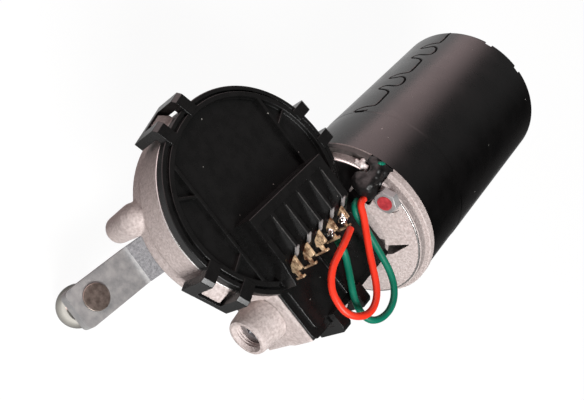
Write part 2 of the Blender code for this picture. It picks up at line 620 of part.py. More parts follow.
def terminal_block():
    """The raised block with its sloped front, and a channel for each terminal."""
    back = BLOCK_BACK_X
    front = back + BLOCK_LENGTH
    slope_top = back + BLOCK_TOP_LENGTH
    slope_low = slope_top + BLOCK_SLOPE_LENGTH
    low = COVER_LOW + 0.0003
    toe = COVER_FACE + BLOCK_TOE_HEIGHT
    profile = [(back, low), (front, low), (front, toe), (slope_low, toe),
               (slope_top, BLOCK_TOP), (back, BLOCK_TOP)]
    block = solid("block", side_prism(profile, BLOCK_LEFT_Y, BLOCK_RIGHT_Y))
    end_wall = [(back + 0.001, low), (front + 0.0009, low), (front + 0.0009, BLOCK_TOP - 0.0017),
                (slope_top, BLOCK_TOP), (back + 0.001, BLOCK_TOP - 0.001)]
    join(block, solid("end_wall", side_prism(end_wall, BLOCK_LEFT_Y + 0.00005, BLOCK_LEFT_Y + BLOCK_WALL)))
    half = (TERMINAL_PITCH - BLOCK_WALL) / 2
    for number in range(TERMINAL_COUNT):
        y = TERMINAL_FIRST_Y + number * TERMINAL_PITCH
        channel = [(back + 0.0035, BLOCK_TOP + 0.001), (back + 0.0035, BLOCK_TOP - 0.0002),
                   (slope_top - 0.0005, BLOCK_TOP - BLOCK_RIB_RISE), (slope_low + 0.0003, toe + 0.0003),
                   (slope_low + 0.003, toe + 0.0003), (slope_low + 0.003, BLOCK_TOP + 0.001)]
        cut(block, solid("channel", side_prism(channel, y - half, y + half)))
    return block


def gear_cover(finish):
    low, face, top = COVER_LOW, COVER_FACE, COVER_RING_TOP
    groove = top - COVER_GROOVE_DEPTH
    rim_inner = COVER_RADIUS - COVER_RIM_WIDTH
    rim_top = top - COVER_RIM_DROP
    spigot_outer = CUP_INNER - SEAT_GAP
    spigot_inner = spigot_outer - COVER_SPIGOT_WALL
    spigot_low = low - COVER_SPIGOT_LENGTH
    cover = solid("gear_cover", turned(
        [(0, low), (spigot_inner, low), (spigot_inner, spigot_low), (spigot_outer, spigot_low),
         (spigot_outer, low), (COVER_RADIUS, low), (COVER_RADIUS, rim_top - 0.0005),
         (COVER_RADIUS - 0.0005, rim_top), (rim_inner, rim_top), (rim_inner, groove),
         (COVER_RING_OUTER, groove), (COVER_RING_OUTER, top), (COVER_RING_INNER, top),
         (COVER_RING_INNER, face), (0, face)], FINE), finish)
    plate_start = BLOCK_BACK_X + BLOCK_LENGTH - 0.004
    plate_end = FLANGE_FRONT_Y - FLANGE_CONE_DEPTH - SEAT_GAP
    edge = COVER_PLATE_BORDER
    cut(cover, solid("plate_room", box((plate_start + 0.002, BOX_FRONT_Y, PLATE_TOP),
                                       (COVER_RADIUS + 0.001, plate_end, top + 0.002))))
    parts = [solid("plate_border", box((plate_start, BOX_FRONT_Y - 0.0002, low),
                                       (BOX_SIDE_X + 0.0002, plate_end, PLATE_TOP - COVER_PLATE_STEP))),
             solid("plate", box((plate_start, BOX_FRONT_Y + edge, low + 0.0002),
                                (BOX_SIDE_X - edge, plate_end - 0.0002, PLATE_TOP)))]
    rib_half = math.sqrt(COVER_RING_OUTER ** 2 - COVER_RIB_OFFSET ** 2) - COVER_RING_WIDTH / 2
    for side in (-1, 1):
        y = side * COVER_RIB_OFFSET
        far = rib_half if side < 0 else BLOCK_BACK_X + 0.002
        rib = box((-rib_half, y - COVER_RIB_THICKNESS / 2, low + 0.0002),
                  (far, y + COVER_RIB_THICKNESS / 2, top - 0.0001))
        parts.append(solid("chord_rib", rib))
    for angle in COVER_RADIAL_RIB_ANGLES:
        start = COVER_RIB_OFFSET / abs(math.sin(math.radians(angle)))
        if angle > 90 or angle < 0:
            rib = box((start, -COVER_RIB_THICKNESS / 2, low + 0.0004),
                      (COVER_RING_INNER + 0.0005, COVER_RIB_THICKNESS / 2, top - 0.0003))
            parts.append(solid("radial_rib", rib, turn=Matrix.Rotation(math.radians(angle), 4, "Z")))
    parts.append(terminal_block())
    parts += [cover_clip(place) for place in clip_places()]
    join(cover, *parts)
    chamber_top = box((WORM_X - WORM_TIP_RADIUS, -WORM_LENGTH / 2, low - 0.003),
                      (BOX_SIDE_X - BOX_WALL - 0.001, WORM_LENGTH / 2, low + 0.0004))
    return cut(cover, solid("worm_room", chamber_top))


def cover_seal(finish):
    low = RIM_Z + SEAT_GAP
    high = low + SEAL_THICKNESS
    seal = solid("cover_seal", rod(CUP_RADIUS - 0.0003, low, high, FINE), finish)
    plate_end = FLANGE_FRONT_Y - FLANGE_CONE_DEPTH - SEAT_GAP
    join(seal, solid("box_seal", box((WORM_X - 0.006, BOX_FRONT_Y + 0.0003, low + 0.00002),
                                     (BOX_SIDE_X - 0.0003, plate_end, high - 0.00002))))
    room = box((WORM_X - TROUGH_RADIUS, TROUGH_FRONT_Y - 0.0004, low - 0.001),
               (BOX_SIDE_X - BOX_WALL + 0.0004, TROUGH_REAR_Y + 0.0004, high + 0.001))
    return cut(seal, solid("round_opening", rod(CUP_INNER + 0.0004, low - 0.001, high + 0.001, FINE)),
               solid("box_opening", room))


def terminal(number, finish):
    """A stamped blade on the block's slope, with a neck and an upright prong in front of it."""
    slope_top = BLOCK_BACK_X + BLOCK_TOP_LENGTH
    blade_front = slope_top + BLOCK_SLOPE_LENGTH
    prong = BLOCK_BACK_X + BLOCK_LENGTH + SEAT_GAP
    prong_low = PLATE_TOP + SEAT_GAP
    prong_top = prong_low + TERMINAL_PRONG_HEIGHT
    neck_low = prong_low + TERMINAL_NECK_RISE
    neck_top = neck_low + TERMINAL_NECK
    outline = [(slope_top + 0.0012, BLOCK_TOP + 0.0001), (blade_front - 0.0002, BLOCK_TOP - 0.0001),
               (blade_front + 0.0002, neck_top), (prong, neck_top), (prong - 0.0001, prong_top),
               (prong - 0.0001 + TERMINAL_PRONG, prong_top), (prong + 0.0002 + TERMINAL_PRONG, prong_low),
               (prong + 0.0002, prong_low), (prong + 0.0001, neck_low), (blade_front + 0.0004, neck_low),
               (blade_front + 0.0001, neck_low - 0.0012), (slope_top + 0.0037, neck_low + 0.0003)]
    y = TERMINAL_FIRST_Y + number * TERMINAL_PITCH
    half = TERMINAL_THICKNESS / 2
    return solid("terminal_%d" % (number + 1), side_prism(outline, y - half, y + half), finish)


def contact_finger(number, finish):
    """A leaf spring under the cover that wipes the contact disc."""
    foot_start, foot_end = FINGER_FOOT_X
    foot = COVER_LOW - SEAT_GAP
    tip = GEAR_TOP + SEAT_GAP + CONTACT_DISC_THICKNESS + CONTACT_GAP
    thick = FINGER_THICKNESS
    outline = [(foot_end, foot), (foot_start, foot), (FINGER_TIP_X + 0.001, tip + thick),
               (FINGER_TIP_X, tip + thick + 0.0008), (FINGER_TIP_X - thick, tip + 0.0008),
               (FINGER_TIP_X + 0.0008, tip), (foot_start + 0.0004, foot - thick), (foot_end, foot - thick)]
    y = (number - 1) * FINGER_SPACING
    return solid("park_contact_%d" % (number + 1),
                 side_prism(outline, y - FINGER_WIDTH / 2, y + FINGER_WIDTH / 2), finish)


def gear_outline():
    """Tooth corners round the wheel, with a space at angle zero."""
    corners = []
    for tooth in range(GEAR_TEETH):
        middle = math.degrees(2 * math.pi * (tooth + 0.5) / GEAR_TEETH)
        for radius, half in ((GEAR_ROOT_RADIUS, -ROOT_HALF), (GEAR_TIP_RADIUS, -TIP_HALF),
                             (GEAR_TIP_RADIUS, TIP_HALF), (GEAR_ROOT_RADIUS, ROOT_HALF)):
            corners.append(spread(middle + math.degrees(half / GEAR_PITCH_RADIUS), radius))
    return corners


def gear_wheel(finish):
    """The wheel's teeth follow the worm's lead, and are square to it at mid height."""
    slope = GEAR_MODULE / (2 * WORM_PITCH_RADIUS)
    twist = GEAR_FACE * slope / GEAR_PITCH_RADIUS
    shape = bmesh.new()
    face = shape.faces.new([shape.verts.new((x, y, GEAR_LOW)) for x, y in gear_outline()])
    bmesh.ops.rotate(shape, verts=shape.verts, cent=(0, 0, 0), matrix=Matrix.Rotation(-twist / 2, 3, "Z"))
    grown = bmesh.ops.extrude_face_region(shape, geom=[face])
    lifted = [part for part in grown["geom"] if isinstance(part, bmesh.types.BMVert)]
    bmesh.ops.translate(shape, verts=lifted, vec=(0, 0, GEAR_FACE))
    bmesh.ops.rotate(shape, verts=lifted, cent=(0, 0, 0), matrix=Matrix.Rotation(twist, 3, "Z"))
    wheel = solid("gear_wheel", shape, finish)
    web_inner, web_outer = CONTACT_DISC_OUTER - 0.008, GEAR_ROOT_RADIUS - 0.003
    hollow = ring(WASHER_RADIUS + 0.001, web_outer, GEAR_LOW - 0.001, GEAR_LOW + GEAR_WEB_DEPTH, MEDIUM)
    upper = ring(web_inner, web_outer, GEAR_TOP - GEAR_WEB_DEPTH, GEAR_TOP + 0.001, MEDIUM)
    bore = rod(OUTPUT_SHAFT_RADIUS + SEAT_GAP, GEAR_LOW - 0.001, GEAR_TOP + 0.001, COARSE)
    return cut(wheel, solid("hollow", hollow), solid("upper", upper), solid("bore", bore))


def worm_section():
    """Angle and radius points round the worm, with the thread's crest at angle zero."""
    crest = 360 * TIP_HALF / TOOTH_PITCH
    root = 360 * ROOT_HALF / TOOTH_PITCH
    points = [(-crest, WORM_TIP_RADIUS), (0, WORM_TIP_RADIUS), (crest, WORM_TIP_RADIUS)]
    flank = 4
    for step in range(1, flank + 1):
        share = step / flank
        points.append((crest + (root - crest) * share,
                       WORM_TIP_RADIUS + (WORM_ROOT_RADIUS - WORM_TIP_RADIUS) * share))
    points += [(160, WORM_ROOT_RADIUS), (200, WORM_ROOT_RADIUS)]
    points += [(360 - angle, radius) for angle, radius in reversed(points[3:-2])]
    return points


def armature_shaft(finish):
    """The motor shaft with a right-hand worm cut on its front end."""
    front = SHAFT_FRONT_Y
    rear = CAP_FRONT_Y - CAP_HUB_LENGTH + SEAT_GAP + REAR_BUSH_LENGTH
    chamfer = 0.0006
    start, end = -WORM_LENGTH / 2, WORM_LENGTH / 2
    front_stub = turned([(0, front), (SHAFT_RADIUS - chamfer, front), (SHAFT_RADIUS, front + chamfer),
                         (SHAFT_RADIUS, start + 0.0006), (0, start + 0.0006)], COARSE)
    shaft = on_motor("armature_shaft", turned(
        [(0, end - 0.0006), (SHAFT_RADIUS, end - 0.0006), (SHAFT_RADIUS, rear - chamfer),
         (SHAFT_RADIUS - chamfer, rear), (0, rear)], COARSE), finish)
    first = math.degrees(2 * math.pi * start / TOOTH_PITCH) - 90
    shape = bmesh.new()
    corners = []
    for angle, radius in worm_section():
        turn = math.radians(first + angle)
        corners.append(shape.verts.new((WORM_X + radius * math.sin(turn), start,
                                        WORM_HEIGHT + radius * math.cos(turn))))
    face = shape.faces.new(corners)
    steps = round(WORM_STEPS_PER_TURN * WORM_LENGTH / TOOTH_PITCH)
    angle = 2 * math.pi * WORM_LENGTH / TOOTH_PITCH
    bmesh.ops.spin(shape, geom=[face], cent=MOTOR_CENTRE, axis=(0, 1, 0), dvec=(0, WORM_LENGTH / steps, 0),
                   angle=angle, steps=steps, use_merge=False)
    return join(shaft, solid("worm", shape), on_motor("front_stub", front_stub))


def armature_core(finish):
    outline = []
    slot_half = math.degrees(CORE_SLOT_WIDTH / 2 / CORE_RADIUS)
    for slot in range(CORE_SLOTS):
        middle = 360 * slot / CORE_SLOTS
        nxt = 360 * (slot + 1) / CORE_SLOTS
        deep = CORE_RADIUS - CORE_SLOT_DEPTH
        deep_half = math.degrees(CORE_SLOT_WIDTH / 2 / deep)
        outline += [spread(middle - deep_half, deep), spread(middle + deep_half, deep)]
        outline += arc((0, 0), CORE_RADIUS, middle + slot_half, nxt - slot_half, 3)
    core = on_motor("armature_core", prism(outline, CORE_START_Y, CORE_END_Y), finish)
    bore = rod(SHAFT_RADIUS + SEAT_GAP, CORE_START_Y - 0.001, CORE_END_Y + 0.001, COARSE)
    return cut(core, on_motor("core_bore", bore))


def winding(name, low, finish):
    high = low + WINDING_LENGTH
    inner, outer, edge = WINDING_INNER_RADIUS, CORE_RADIUS - WINDING_EDGE / 2, WINDING_EDGE
    profile = [(inner, low), (outer - edge, low), (outer, low + edge),
               (outer, high - edge), (outer - edge, high), (inner, high)]
    return on_motor(name, turned(profile, MEDIUM), finish)


def armature(finishes):
    armature_shaft(finishes["steel"])
    armature_core(finishes["laminations"])
    winding("winding_front", CORE_START_Y - SEAT_GAP - WINDING_LENGTH, finishes["copper_wire"])
    winding("winding_rear", CORE_END_Y + SEAT_GAP, finishes["copper_wire"])
    on_motor("commutator", ring(SHAFT_RADIUS + SEAT_GAP, COMMUTATOR_RADIUS,
                                COMMUTATOR_END_Y - COMMUTATOR_LENGTH, COMMUTATOR_END_Y, MEDIUM),
             finishes["copper"])


def bearings(finishes):
    bush_start = TROUGH_FRONT_Y - WORM_BUSH_LENGTH - SEAT_GAP
    on_motor("worm_end_bush", ring(SHAFT_BORE, WORM_BUSH_RADIUS, bush_start, bush_start + WORM_BUSH_LENGTH,
                                   COARSE), finishes["bronze"])
    on_motor("front_bush", ring(SHAFT_BORE, FRONT_BUSH_RADIUS, FRONT_SEAT_Y + SEAT_GAP,
                                FRONT_SEAT_Y + SEAT_GAP + FRONT_BUSH_LENGTH, COARSE), finishes["bronze"])
    rear_start = CAP_FRONT_Y - CAP_HUB_LENGTH + SEAT_GAP
    on_motor("rear_bush", ring(SHAFT_BORE, WORM_BUSH_RADIUS, rear_start, rear_start + REAR_BUSH_LENGTH,
                               COARSE), finishes["bronze"])
    ball_y = SHAFT_FRONT_Y - SEAT_GAP - THRUST_BALL_RADIUS
    ball = bmesh.new()
    bmesh.ops.create_uvsphere(ball, u_segments=16, v_segments=10, radius=THRUST_BALL_RADIUS)
    solid("thrust_ball", ball, finishes["steel"], Matrix.Translation(MOTOR_CENTRE + Vector((0, ball_y, 0))))
    screw_rear = ball_y - THRUST_BALL_RADIUS - SEAT_GAP
    screw_front = screw_rear - THRUST_SCREW_LENGTH
    screw = on_motor("thrust_screw", rod(THRUST_HOLE_RADIUS - THREAD_GAP, screw_front, screw_rear, COARSE),
                     finishes["steel"])
    socket = prism(hexagon(THRUST_SOCKET), screw_front - 0.001, screw_front + THRUST_SCREW_LENGTH / 2)
    cut(screw, on_motor("socket", socket))


def motor_shell(finishes):
    on_motor("motor_can", ring(CAN_INNER, CAN_RADIUS, CAN_FRONT_Y, CAN_REAR_Y, FINE),
             finishes["black_paint"])
    hub = WORM_BUSH_RADIUS + SEAT_GAP
    hub_start = CAP_FRONT_Y - CAP_HUB_LENGTH
    cap = on_motor("end_cap", turned(
        [(0, CAP_FRONT_Y - 0.001), (hub, CAP_FRONT_Y - 0.001), (hub, hub_start),
         (hub + CAP_HUB_WALL, hub_start), (hub + CAP_HUB_WALL, CAP_FRONT_Y),
         (CAN_INNER - SEAT_GAP, CAP_FRONT_Y), (CAN_INNER - SEAT_GAP, CAP_REAR_Y),
         (hub + CAP_HUB_WALL, CAP_REAR_Y), (hub, CAP_REAR_Y + 0.0015), (0, CAP_REAR_Y + 0.0015)], FINE),
        finishes["black_paint"])
    for angle in (BOLT_ANGLE, BOLT_ANGLE + 180):
        hole = rod(BOLT_RADIUS + THREAD_GAP, CAP_FRONT_Y - 0.002, CAP_REAR_Y + 0.002, COARSE)
        cut(cap, on_bolt("cap_hole", hole, angle))
    outer = CAN_INNER - SEAT_GAP
    inner = outer - MAGNET_THICKNESS
    for name, middle in (("magnet_left", BOLT_ANGLE + 90), ("magnet_right", BOLT_ANGLE - 90)):
        start, end = -MAGNET_ARC / 2, MAGNET_ARC / 2
        outline = arc((0, 0), outer, start, end, 14) + arc((0, 0), inner, end, start, 14)
        magnet_start = (CORE_START_Y + CORE_END_Y - MAGNET_LENGTH) / 2
        solid(name, prism(outline, magnet_start, magnet_start + MAGNET_LENGTH), finishes["ferrite"],
              motor_spoke(middle))


def through_bolts(finishes):
    for number, angle in enumerate((BOLT_ANGLE, BOLT_ANGLE + 180), start=1):
        seat = FLANGE_FRONT_Y - SEAT_GAP
        head = prism(hexagon(BOLT_HEAD_FLATS), seat - BOLT_HEAD_HEIGHT, seat)
        bolt = on_bolt("through_bolt_%d" % number, head, angle, finishes["zinc"])
        shank = rod(BOLT_RADIUS, seat - 0.001, CAP_REAR_Y - 0.0005, COARSE)
        join(bolt, on_bolt("shank", shank, angle))


def coil_points(inner, outer):
    """Points of a spring wound about local X between two radii from the motor's axis."""
    count = SPRING_TURNS * SPRING_POINTS_PER_TURN
    points = []
    for step in range(count + 1):
        turn = 2 * math.pi * step / SPRING_POINTS_PER_TURN
        along = inner + (outer - inner) * step / count
        points.append(Vector((along, SPRING_COIL_RADIUS * math.cos(turn),
                              SPRING_COIL_RADIUS * math.sin(turn))))
    return points


def tube(name, points, radius, finish, sides, turn=None):
    """A closed tube along a line of points."""
    line = bpy.data.curves.new(name, "CURVE")
    line.dimensions = "3D"
    line.bevel_depth = radius
    line.bevel_resolution = sides
    line.use_fill_caps = True
    spline = line.splines.new("POLY")
    spline.points.add(len(points) - 1)
    for slot, point in zip(spline.points, points):
        place = turn @ Vector(point) if turn is not None else Vector(point)
        slot.co = (*place, 1)
    spline.use_smooth = True
    line.materials.append(finish)
    item = bpy.data.objects.new(name, line)
    bpy.context.scene.collection.objects.link(item)
    return item


def brush_gear(finishes):
    board = ring(BRUSH_PLATE_BORE, CAN_INNER - SEAT_GAP, BRUSH_PLATE_Y,
                 BRUSH_PLATE_Y + BRUSH_PLATE_THICKNESS, MEDIUM)
    plate = on_motor("brush_plate", board, finishes["brown_board"])
    for angle in (BOLT_ANGLE, BOLT_ANGLE + 180):
        hole = rod(BOLT_RADIUS + SEAT_GAP, BRUSH_PLATE_Y - 0.001, BRUSH_PLATE_Y + 0.004, COARSE)
        cut(plate, on_bolt("plate_hole", hole, angle))
    half_width = BRUSH_WIDTH / 2 + SEAT_GAP
    half_height = BRUSH_HEIGHT / 2 + SEAT_GAP
    wall = BRUSH_BOX_WALL
    spring_gap = SPRING_WIRE / 2 + SEAT_GAP
    for number, offset in enumerate(BRUSH_ANGLES, start=1):
        spoke = motor_spoke(BOLT_ANGLE + offset)
        holder = solid("brush_box_%d" % number,
                       box((BRUSH_START + 0.002, -half_width - wall, BRUSH_Y - half_height - wall),
                           (BRUSH_BOX_END, half_width + wall, BRUSH_Y + half_height + wall)),
                       finishes["brass"], spoke)
        bore = box((BRUSH_START, -half_width, BRUSH_Y - half_height),
                   (BRUSH_BOX_END - wall, half_width, BRUSH_Y + half_height))
        cut(holder, solid("box_bore", bore, turn=spoke))
        solid("brush_%d" % number, box((BRUSH_START, -BRUSH_WIDTH / 2, BRUSH_Y - BRUSH_HEIGHT / 2),
                                       (BRUSH_END, BRUSH_WIDTH / 2, BRUSH_Y + BRUSH_HEIGHT / 2)),
              finishes["carbon"], spoke)
        coil = coil_points(BRUSH_END + spring_gap, BRUSH_BOX_END - wall - spring_gap)
        lift = Matrix.Translation((0, 0, BRUSH_Y))
        tube("brush_spring_%d" % number, coil, SPRING_WIRE / 2, finishes["steel"], 1, spoke @ lift)
    pitch = (BRUSH_BOX_END - wall - BRUSH_END - 2 * spring_gap) / SPRING_TURNS
    print("brush spring, gap between turns, mm: %.2f" % ((pitch - SPRING_WIRE) * 1000))


def output_drive(finishes):
    thread_top = ARM_TOP + SEAT_GAP
    shaft_top = GEAR_TOP + SEAT_GAP + SHAFT_CLIP_THICKNESS + SHAFT_TIP
    hub = OUTPUT_THREAD_RADIUS + SEAT_GAP
    solid("output_shaft", turned(
        [(0, SHAFT_END_Z), (OUTPUT_THREAD_RADIUS - 0.0008, SHAFT_END_Z),
         (OUTPUT_THREAD_RADIUS, SHAFT_END_Z + 0.001), (OUTPUT_THREAD_RADIUS, thread_top),
         (OUTPUT_SHAFT_RADIUS, thread_top + 0.0012), (OUTPUT_SHAFT_RADIUS, shaft_top - 0.0006),
         (OUTPUT_SHAFT_RADIUS - 0.0006, shaft_top), (0, shaft_top)],
        MEDIUM), finishes["steel"])
    gear_wheel(finishes["nylon"])
    washer_low = CHAMBER_FLOOR + SEAT_GAP
    solid("thrust_washer", ring(OUTPUT_SHAFT_RADIUS + SEAT_GAP, WASHER_RADIUS, washer_low,
                                washer_low + WASHER_THICKNESS, MEDIUM), finishes["steel"])
    on_gear = GEAR_TOP + SEAT_GAP
    solid("contact_disc", ring(CONTACT_DISC_INNER, CONTACT_DISC_OUTER, on_gear,
                               on_gear + CONTACT_DISC_THICKNESS, FINE), finishes["copper"])
    solid("shaft_clip", ring(OUTPUT_SHAFT_RADIUS + SEAT_GAP, SHAFT_CLIP_RADIUS, on_gear,
                             on_gear + SHAFT_CLIP_THICKNESS, COARSE), finishes["steel"])
    bush_top = CHAMBER_FLOOR - SEAT_GAP
    seal_low = OUTPUT_BOSS_END_Z + 0.0006
    seal_top = seal_low + OUTPUT_SEAL_LENGTH
    solid("output_bush", ring(OUTPUT_BORE, OUTPUT_BUSH_RADIUS, seal_top + SEAT_GAP, bush_top, MEDIUM),
          finishes["bronze"])
    solid("output_seal", ring(OUTPUT_BORE, OUTPUT_BUSH_RADIUS, seal_low, seal_top, MEDIUM),
          finishes["rubber"])
    crank = Matrix.Rotation(math.radians(CRANK_ANGLE), 4, "Z")
    crank_arm(finishes["zinc"], crank, hub)
    solid("lock_washer", ring(hub, LOCK_WASHER_RADIUS, LOCK_WASHER_TOP - LOCK_WASHER_THICKNESS,
                              LOCK_WASHER_TOP, COARSE), finishes["zinc"])
    nut = solid("crank_nut", prism(hexagon(CRANK_NUT_FLATS), NUT_TOP - CRANK_NUT_HEIGHT, NUT_TOP),
                finishes["zinc"])
    cut(nut, solid("nut_bore", rod(OUTPUT_THREAD_RADIUS + THREAD_GAP, NUT_TOP - CRANK_NUT_HEIGHT - 0.001,
                                   NUT_TOP + 0.001, COARSE)))
    ball_stud(finishes["bright_steel"], crank)


def crank_arm(finish, crank, hub):
    """A flat bar, stepped down between the output shaft and the ball stud."""
    half = ARM_WIDTH / 2
    end = ARM_LENGTH + ARM_TIP
    drop = ARM_JOGGLE
    side = [(-half, ARM_LOW), (ARM_BEND_START - 0.001, ARM_LOW), (ARM_BEND_END - 0.001, ARM_LOW - drop),
            (end, ARM_LOW - drop), (end, ARM_TOP - drop), (ARM_BEND_END + 0.001, ARM_TOP - drop),
            (ARM_BEND_START + 0.001, ARM_TOP), (-half, ARM_TOP)]
    arm = solid("crank_arm", side_prism(side, -half, half), finish, crank)
    corner = ARM_CORNER
    plan = arc((0, 0), half, 90, 270, 12)
    plan += [(end - corner, -half), (end, corner - half), (end, half - corner), (end - corner, half)]
    outline = solid("arm_plan", prism(plan, ARM_LOW - drop - 0.002, ARM_TOP + 0.002), turn=crank)
    combine(arm, [outline], "INTERSECT")
    hub_hole = rod(hub, ARM_LOW - 0.002, ARM_TOP + 0.002, COARSE)
    shank_hole = rod(STUD_SHANK_RADIUS + SEAT_GAP, ARM_LOW - drop - 0.002, ARM_TOP - drop + 0.002, COARSE)
    place = crank @ Matrix.Translation((ARM_LENGTH, 0, 0))
    return cut(arm, solid("hub_hole", hub_hole), solid("shank_hole", shank_hole, turn=place))


def ball_stud(finish, crank):
    top = ARM_TOP - ARM_JOGGLE
    low = ARM_LOW - ARM_JOGGLE
    collar_top = low - SEAT_GAP
    collar_low = collar_top - STUD_COLLAR_HEIGHT
    neck_low = collar_low - STUD_NECK_LENGTH
    centre = neck_low - math.sqrt(BALL_RADIUS ** 2 - STUD_NECK_RADIUS ** 2)
    start = math.degrees(math.asin((neck_low - centre) / BALL_RADIUS))
    ball = arc((0, centre), BALL_RADIUS, -90, start, 12)
    profile = [(0, centre - BALL_RADIUS)] + ball[1:]
    head = top + SEAT_GAP
    profile += [(STUD_NECK_RADIUS, collar_low), (STUD_COLLAR_RADIUS, collar_low),
                (STUD_COLLAR_RADIUS, collar_top), (STUD_SHANK_RADIUS, collar_top),
                (STUD_SHANK_RADIUS, head), (RIVET_RADIUS, head),
                (RIVET_RADIUS, head + RIVET_HEIGHT), (0, head + RIVET_HEIGHT)]
    return solid("ball_stud", turned(profile, COARSE), finish,
                 crank @ Matrix.Translation((ARM_LENGTH, 0, 0)))


def smooth_line(route, spacing):
    """Evenly spaced points on a smooth curve through a route's points."""
    stops = [Vector(point) for point in route]
    ends = [2 * stops[0] - stops[1]] + stops + [2 * stops[-1] - stops[-2]]
    fine = [stops[0]]
    for before, start, end, after in zip(ends, ends[1:], ends[2:], ends[3:]):
        for step in range(1, 9):
            t = step / 8
            bend = (2 * before - 5 * start + 4 * end - after) * t ** 2
            twist = (3 * start - before - 3 * end + after) * t ** 3
            fine.append(0.5 * (2 * start + (end - before) * t + bend + twist))
    lengths = [0.0]
    for start, end in zip(fine, fine[1:]):
        lengths.append(lengths[-1] + (end - start).length)
    count = max(2, round(lengths[-1] / spacing))
    points, index = [], 0
    for step in range(count + 1):
        target = lengths[-1] * step / count
        while index < len(fine) - 2 and lengths[index + 1] < target:
            index += 1
        span = lengths[index + 1] - lengths[index]
        points.append(fine[index].lerp(fine[index + 1], (target - lengths[index]) / span))
    return points


def jumper_wires(finishes):
    grommet = box((GROMMET_INNER_RADIUS, -GROMMET_WIDTH / 2, GROMMET_FRONT_Y),
                  (GROMMET_OUTER_RADIUS, GROMMET_WIDTH / 2, FLANGE_REAR_Y - SEAT_GAP))
    solid("wire_grommet", rounded(grommet, GROMMET_EDGE, 2), finishes["rubber"], motor_spoke(GROMMET_ANGLE))
    wires = (("red_wire", RED_ROUTE, "red_pvc"), ("green_wire", GREEN_ROUTE, "green_pvc"))
    for name, route, finish in wires:
        tube(name, smooth_line(route, WIRE_POINT_SPACING), WIRE_RADIUS, finishes[finish], 2)


def make_finishes():
    looks = {
        "aluminium": ((0.62, 0.60, 0.58), 0.55, 0.9),
        "black_plastic": ((0.012, 0.012, 0.013), 0.35, 0.0),
        "black_paint": ((0.010, 0.010, 0.010), 0.30, 0.0),
        "zinc": ((0.48, 0.50, 0.52), 0.35, 1.0),
        "steel": ((0.45, 0.45, 0.46), 0.35, 1.0),
        "bright_steel": ((0.75, 0.74, 0.72), 0.12, 1.0),
        "brass": ((0.72, 0.50, 0.27), 0.32, 1.0),
        "copper": ((0.78, 0.42, 0.26), 0.35, 1.0),
        "copper_wire": ((0.45, 0.16, 0.06), 0.30, 0.6),
        "bronze": ((0.48, 0.33, 0.18), 0.50, 1.0),
        "laminations": ((0.25, 0.25, 0.26), 0.50, 0.9),
        "ferrite": ((0.08, 0.08, 0.085), 0.70, 0.1),
        "carbon": ((0.04, 0.04, 0.04), 0.65, 0.1),
        "nylon": ((0.80, 0.76, 0.66), 0.45, 0.0),
        "brown_board": ((0.28, 0.14, 0.06), 0.55, 0.0),
        "rubber": ((0.015, 0.015, 0.016), 0.60, 0.0),
        "red_pvc": ((0.80, 0.06, 0.02), 0.35, 0.0),
        "green_pvc": ((0.01, 0.35, 0.22), 0.35, 0.0),
    }
    return {name: material(name, *look) for name, look in looks.items()}


def hang_on_axis(name, place, pieces):
    """Parent moving pieces to an empty on the axis that they turn about or slide along."""
    axis = bpy.data.objects.new(name, None)
    axis.location = place
    bpy.context.scene.collection.objects.link(axis)
    for piece in pieces:
        item = bpy.data.objects[piece]
        item.parent = axis
        item.matrix_parent_inverse = Matrix.Translation(place).inverted()


def moving_groups():
    hang_on_axis("crank_axis", Vector((0, 0, 0)),
                 ("output_shaft", "gear_wheel", "contact_disc", "shaft_clip", "thrust_washer",
                  "crank_arm", "lock_washer", "crank_nut", "ball_stud"))
    hang_on_axis("motor_axis", MOTOR_CENTRE,
                 ("armature_shaft", "armature_core", "winding_front", "winding_rear", "commutator"))
    for number in range(1, len(BRUSH_ANGLES) + 1):
        hang_on_axis("brush_axis_%d" % number, MOTOR_CENTRE + Vector((0, BRUSH_Y, 0)),
                     ("brush_%d" % number,))


def main():
    remove_all_objects()
    finishes = make_finishes()
    gear_housing(finishes["aluminium"])
    worm_end_boss(finishes["aluminium"])
    gear_cover(finishes["black_plastic"])
    cover_seal(finishes["rubber"])
    for number in range(TERMINAL_COUNT):
        terminal(number, finishes["brass"])
    for number in range(3):
        contact_finger(number, finishes["brass"])
    motor_shell(finishes)
    bearings(finishes)
    armature(finishes)
    brush_gear(finishes)
    through_bolts(finishes)
    output_drive(finishes)
    jumper_wires(finishes)
    moving_groups()


main()
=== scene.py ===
"""Looks of a wiper motor: cast gearbox, black cover and can, crank arm and jumper wires on a pale floor."""

import json
import math

import bmesh
import bpy
from mathutils import Matrix, Vector, noise

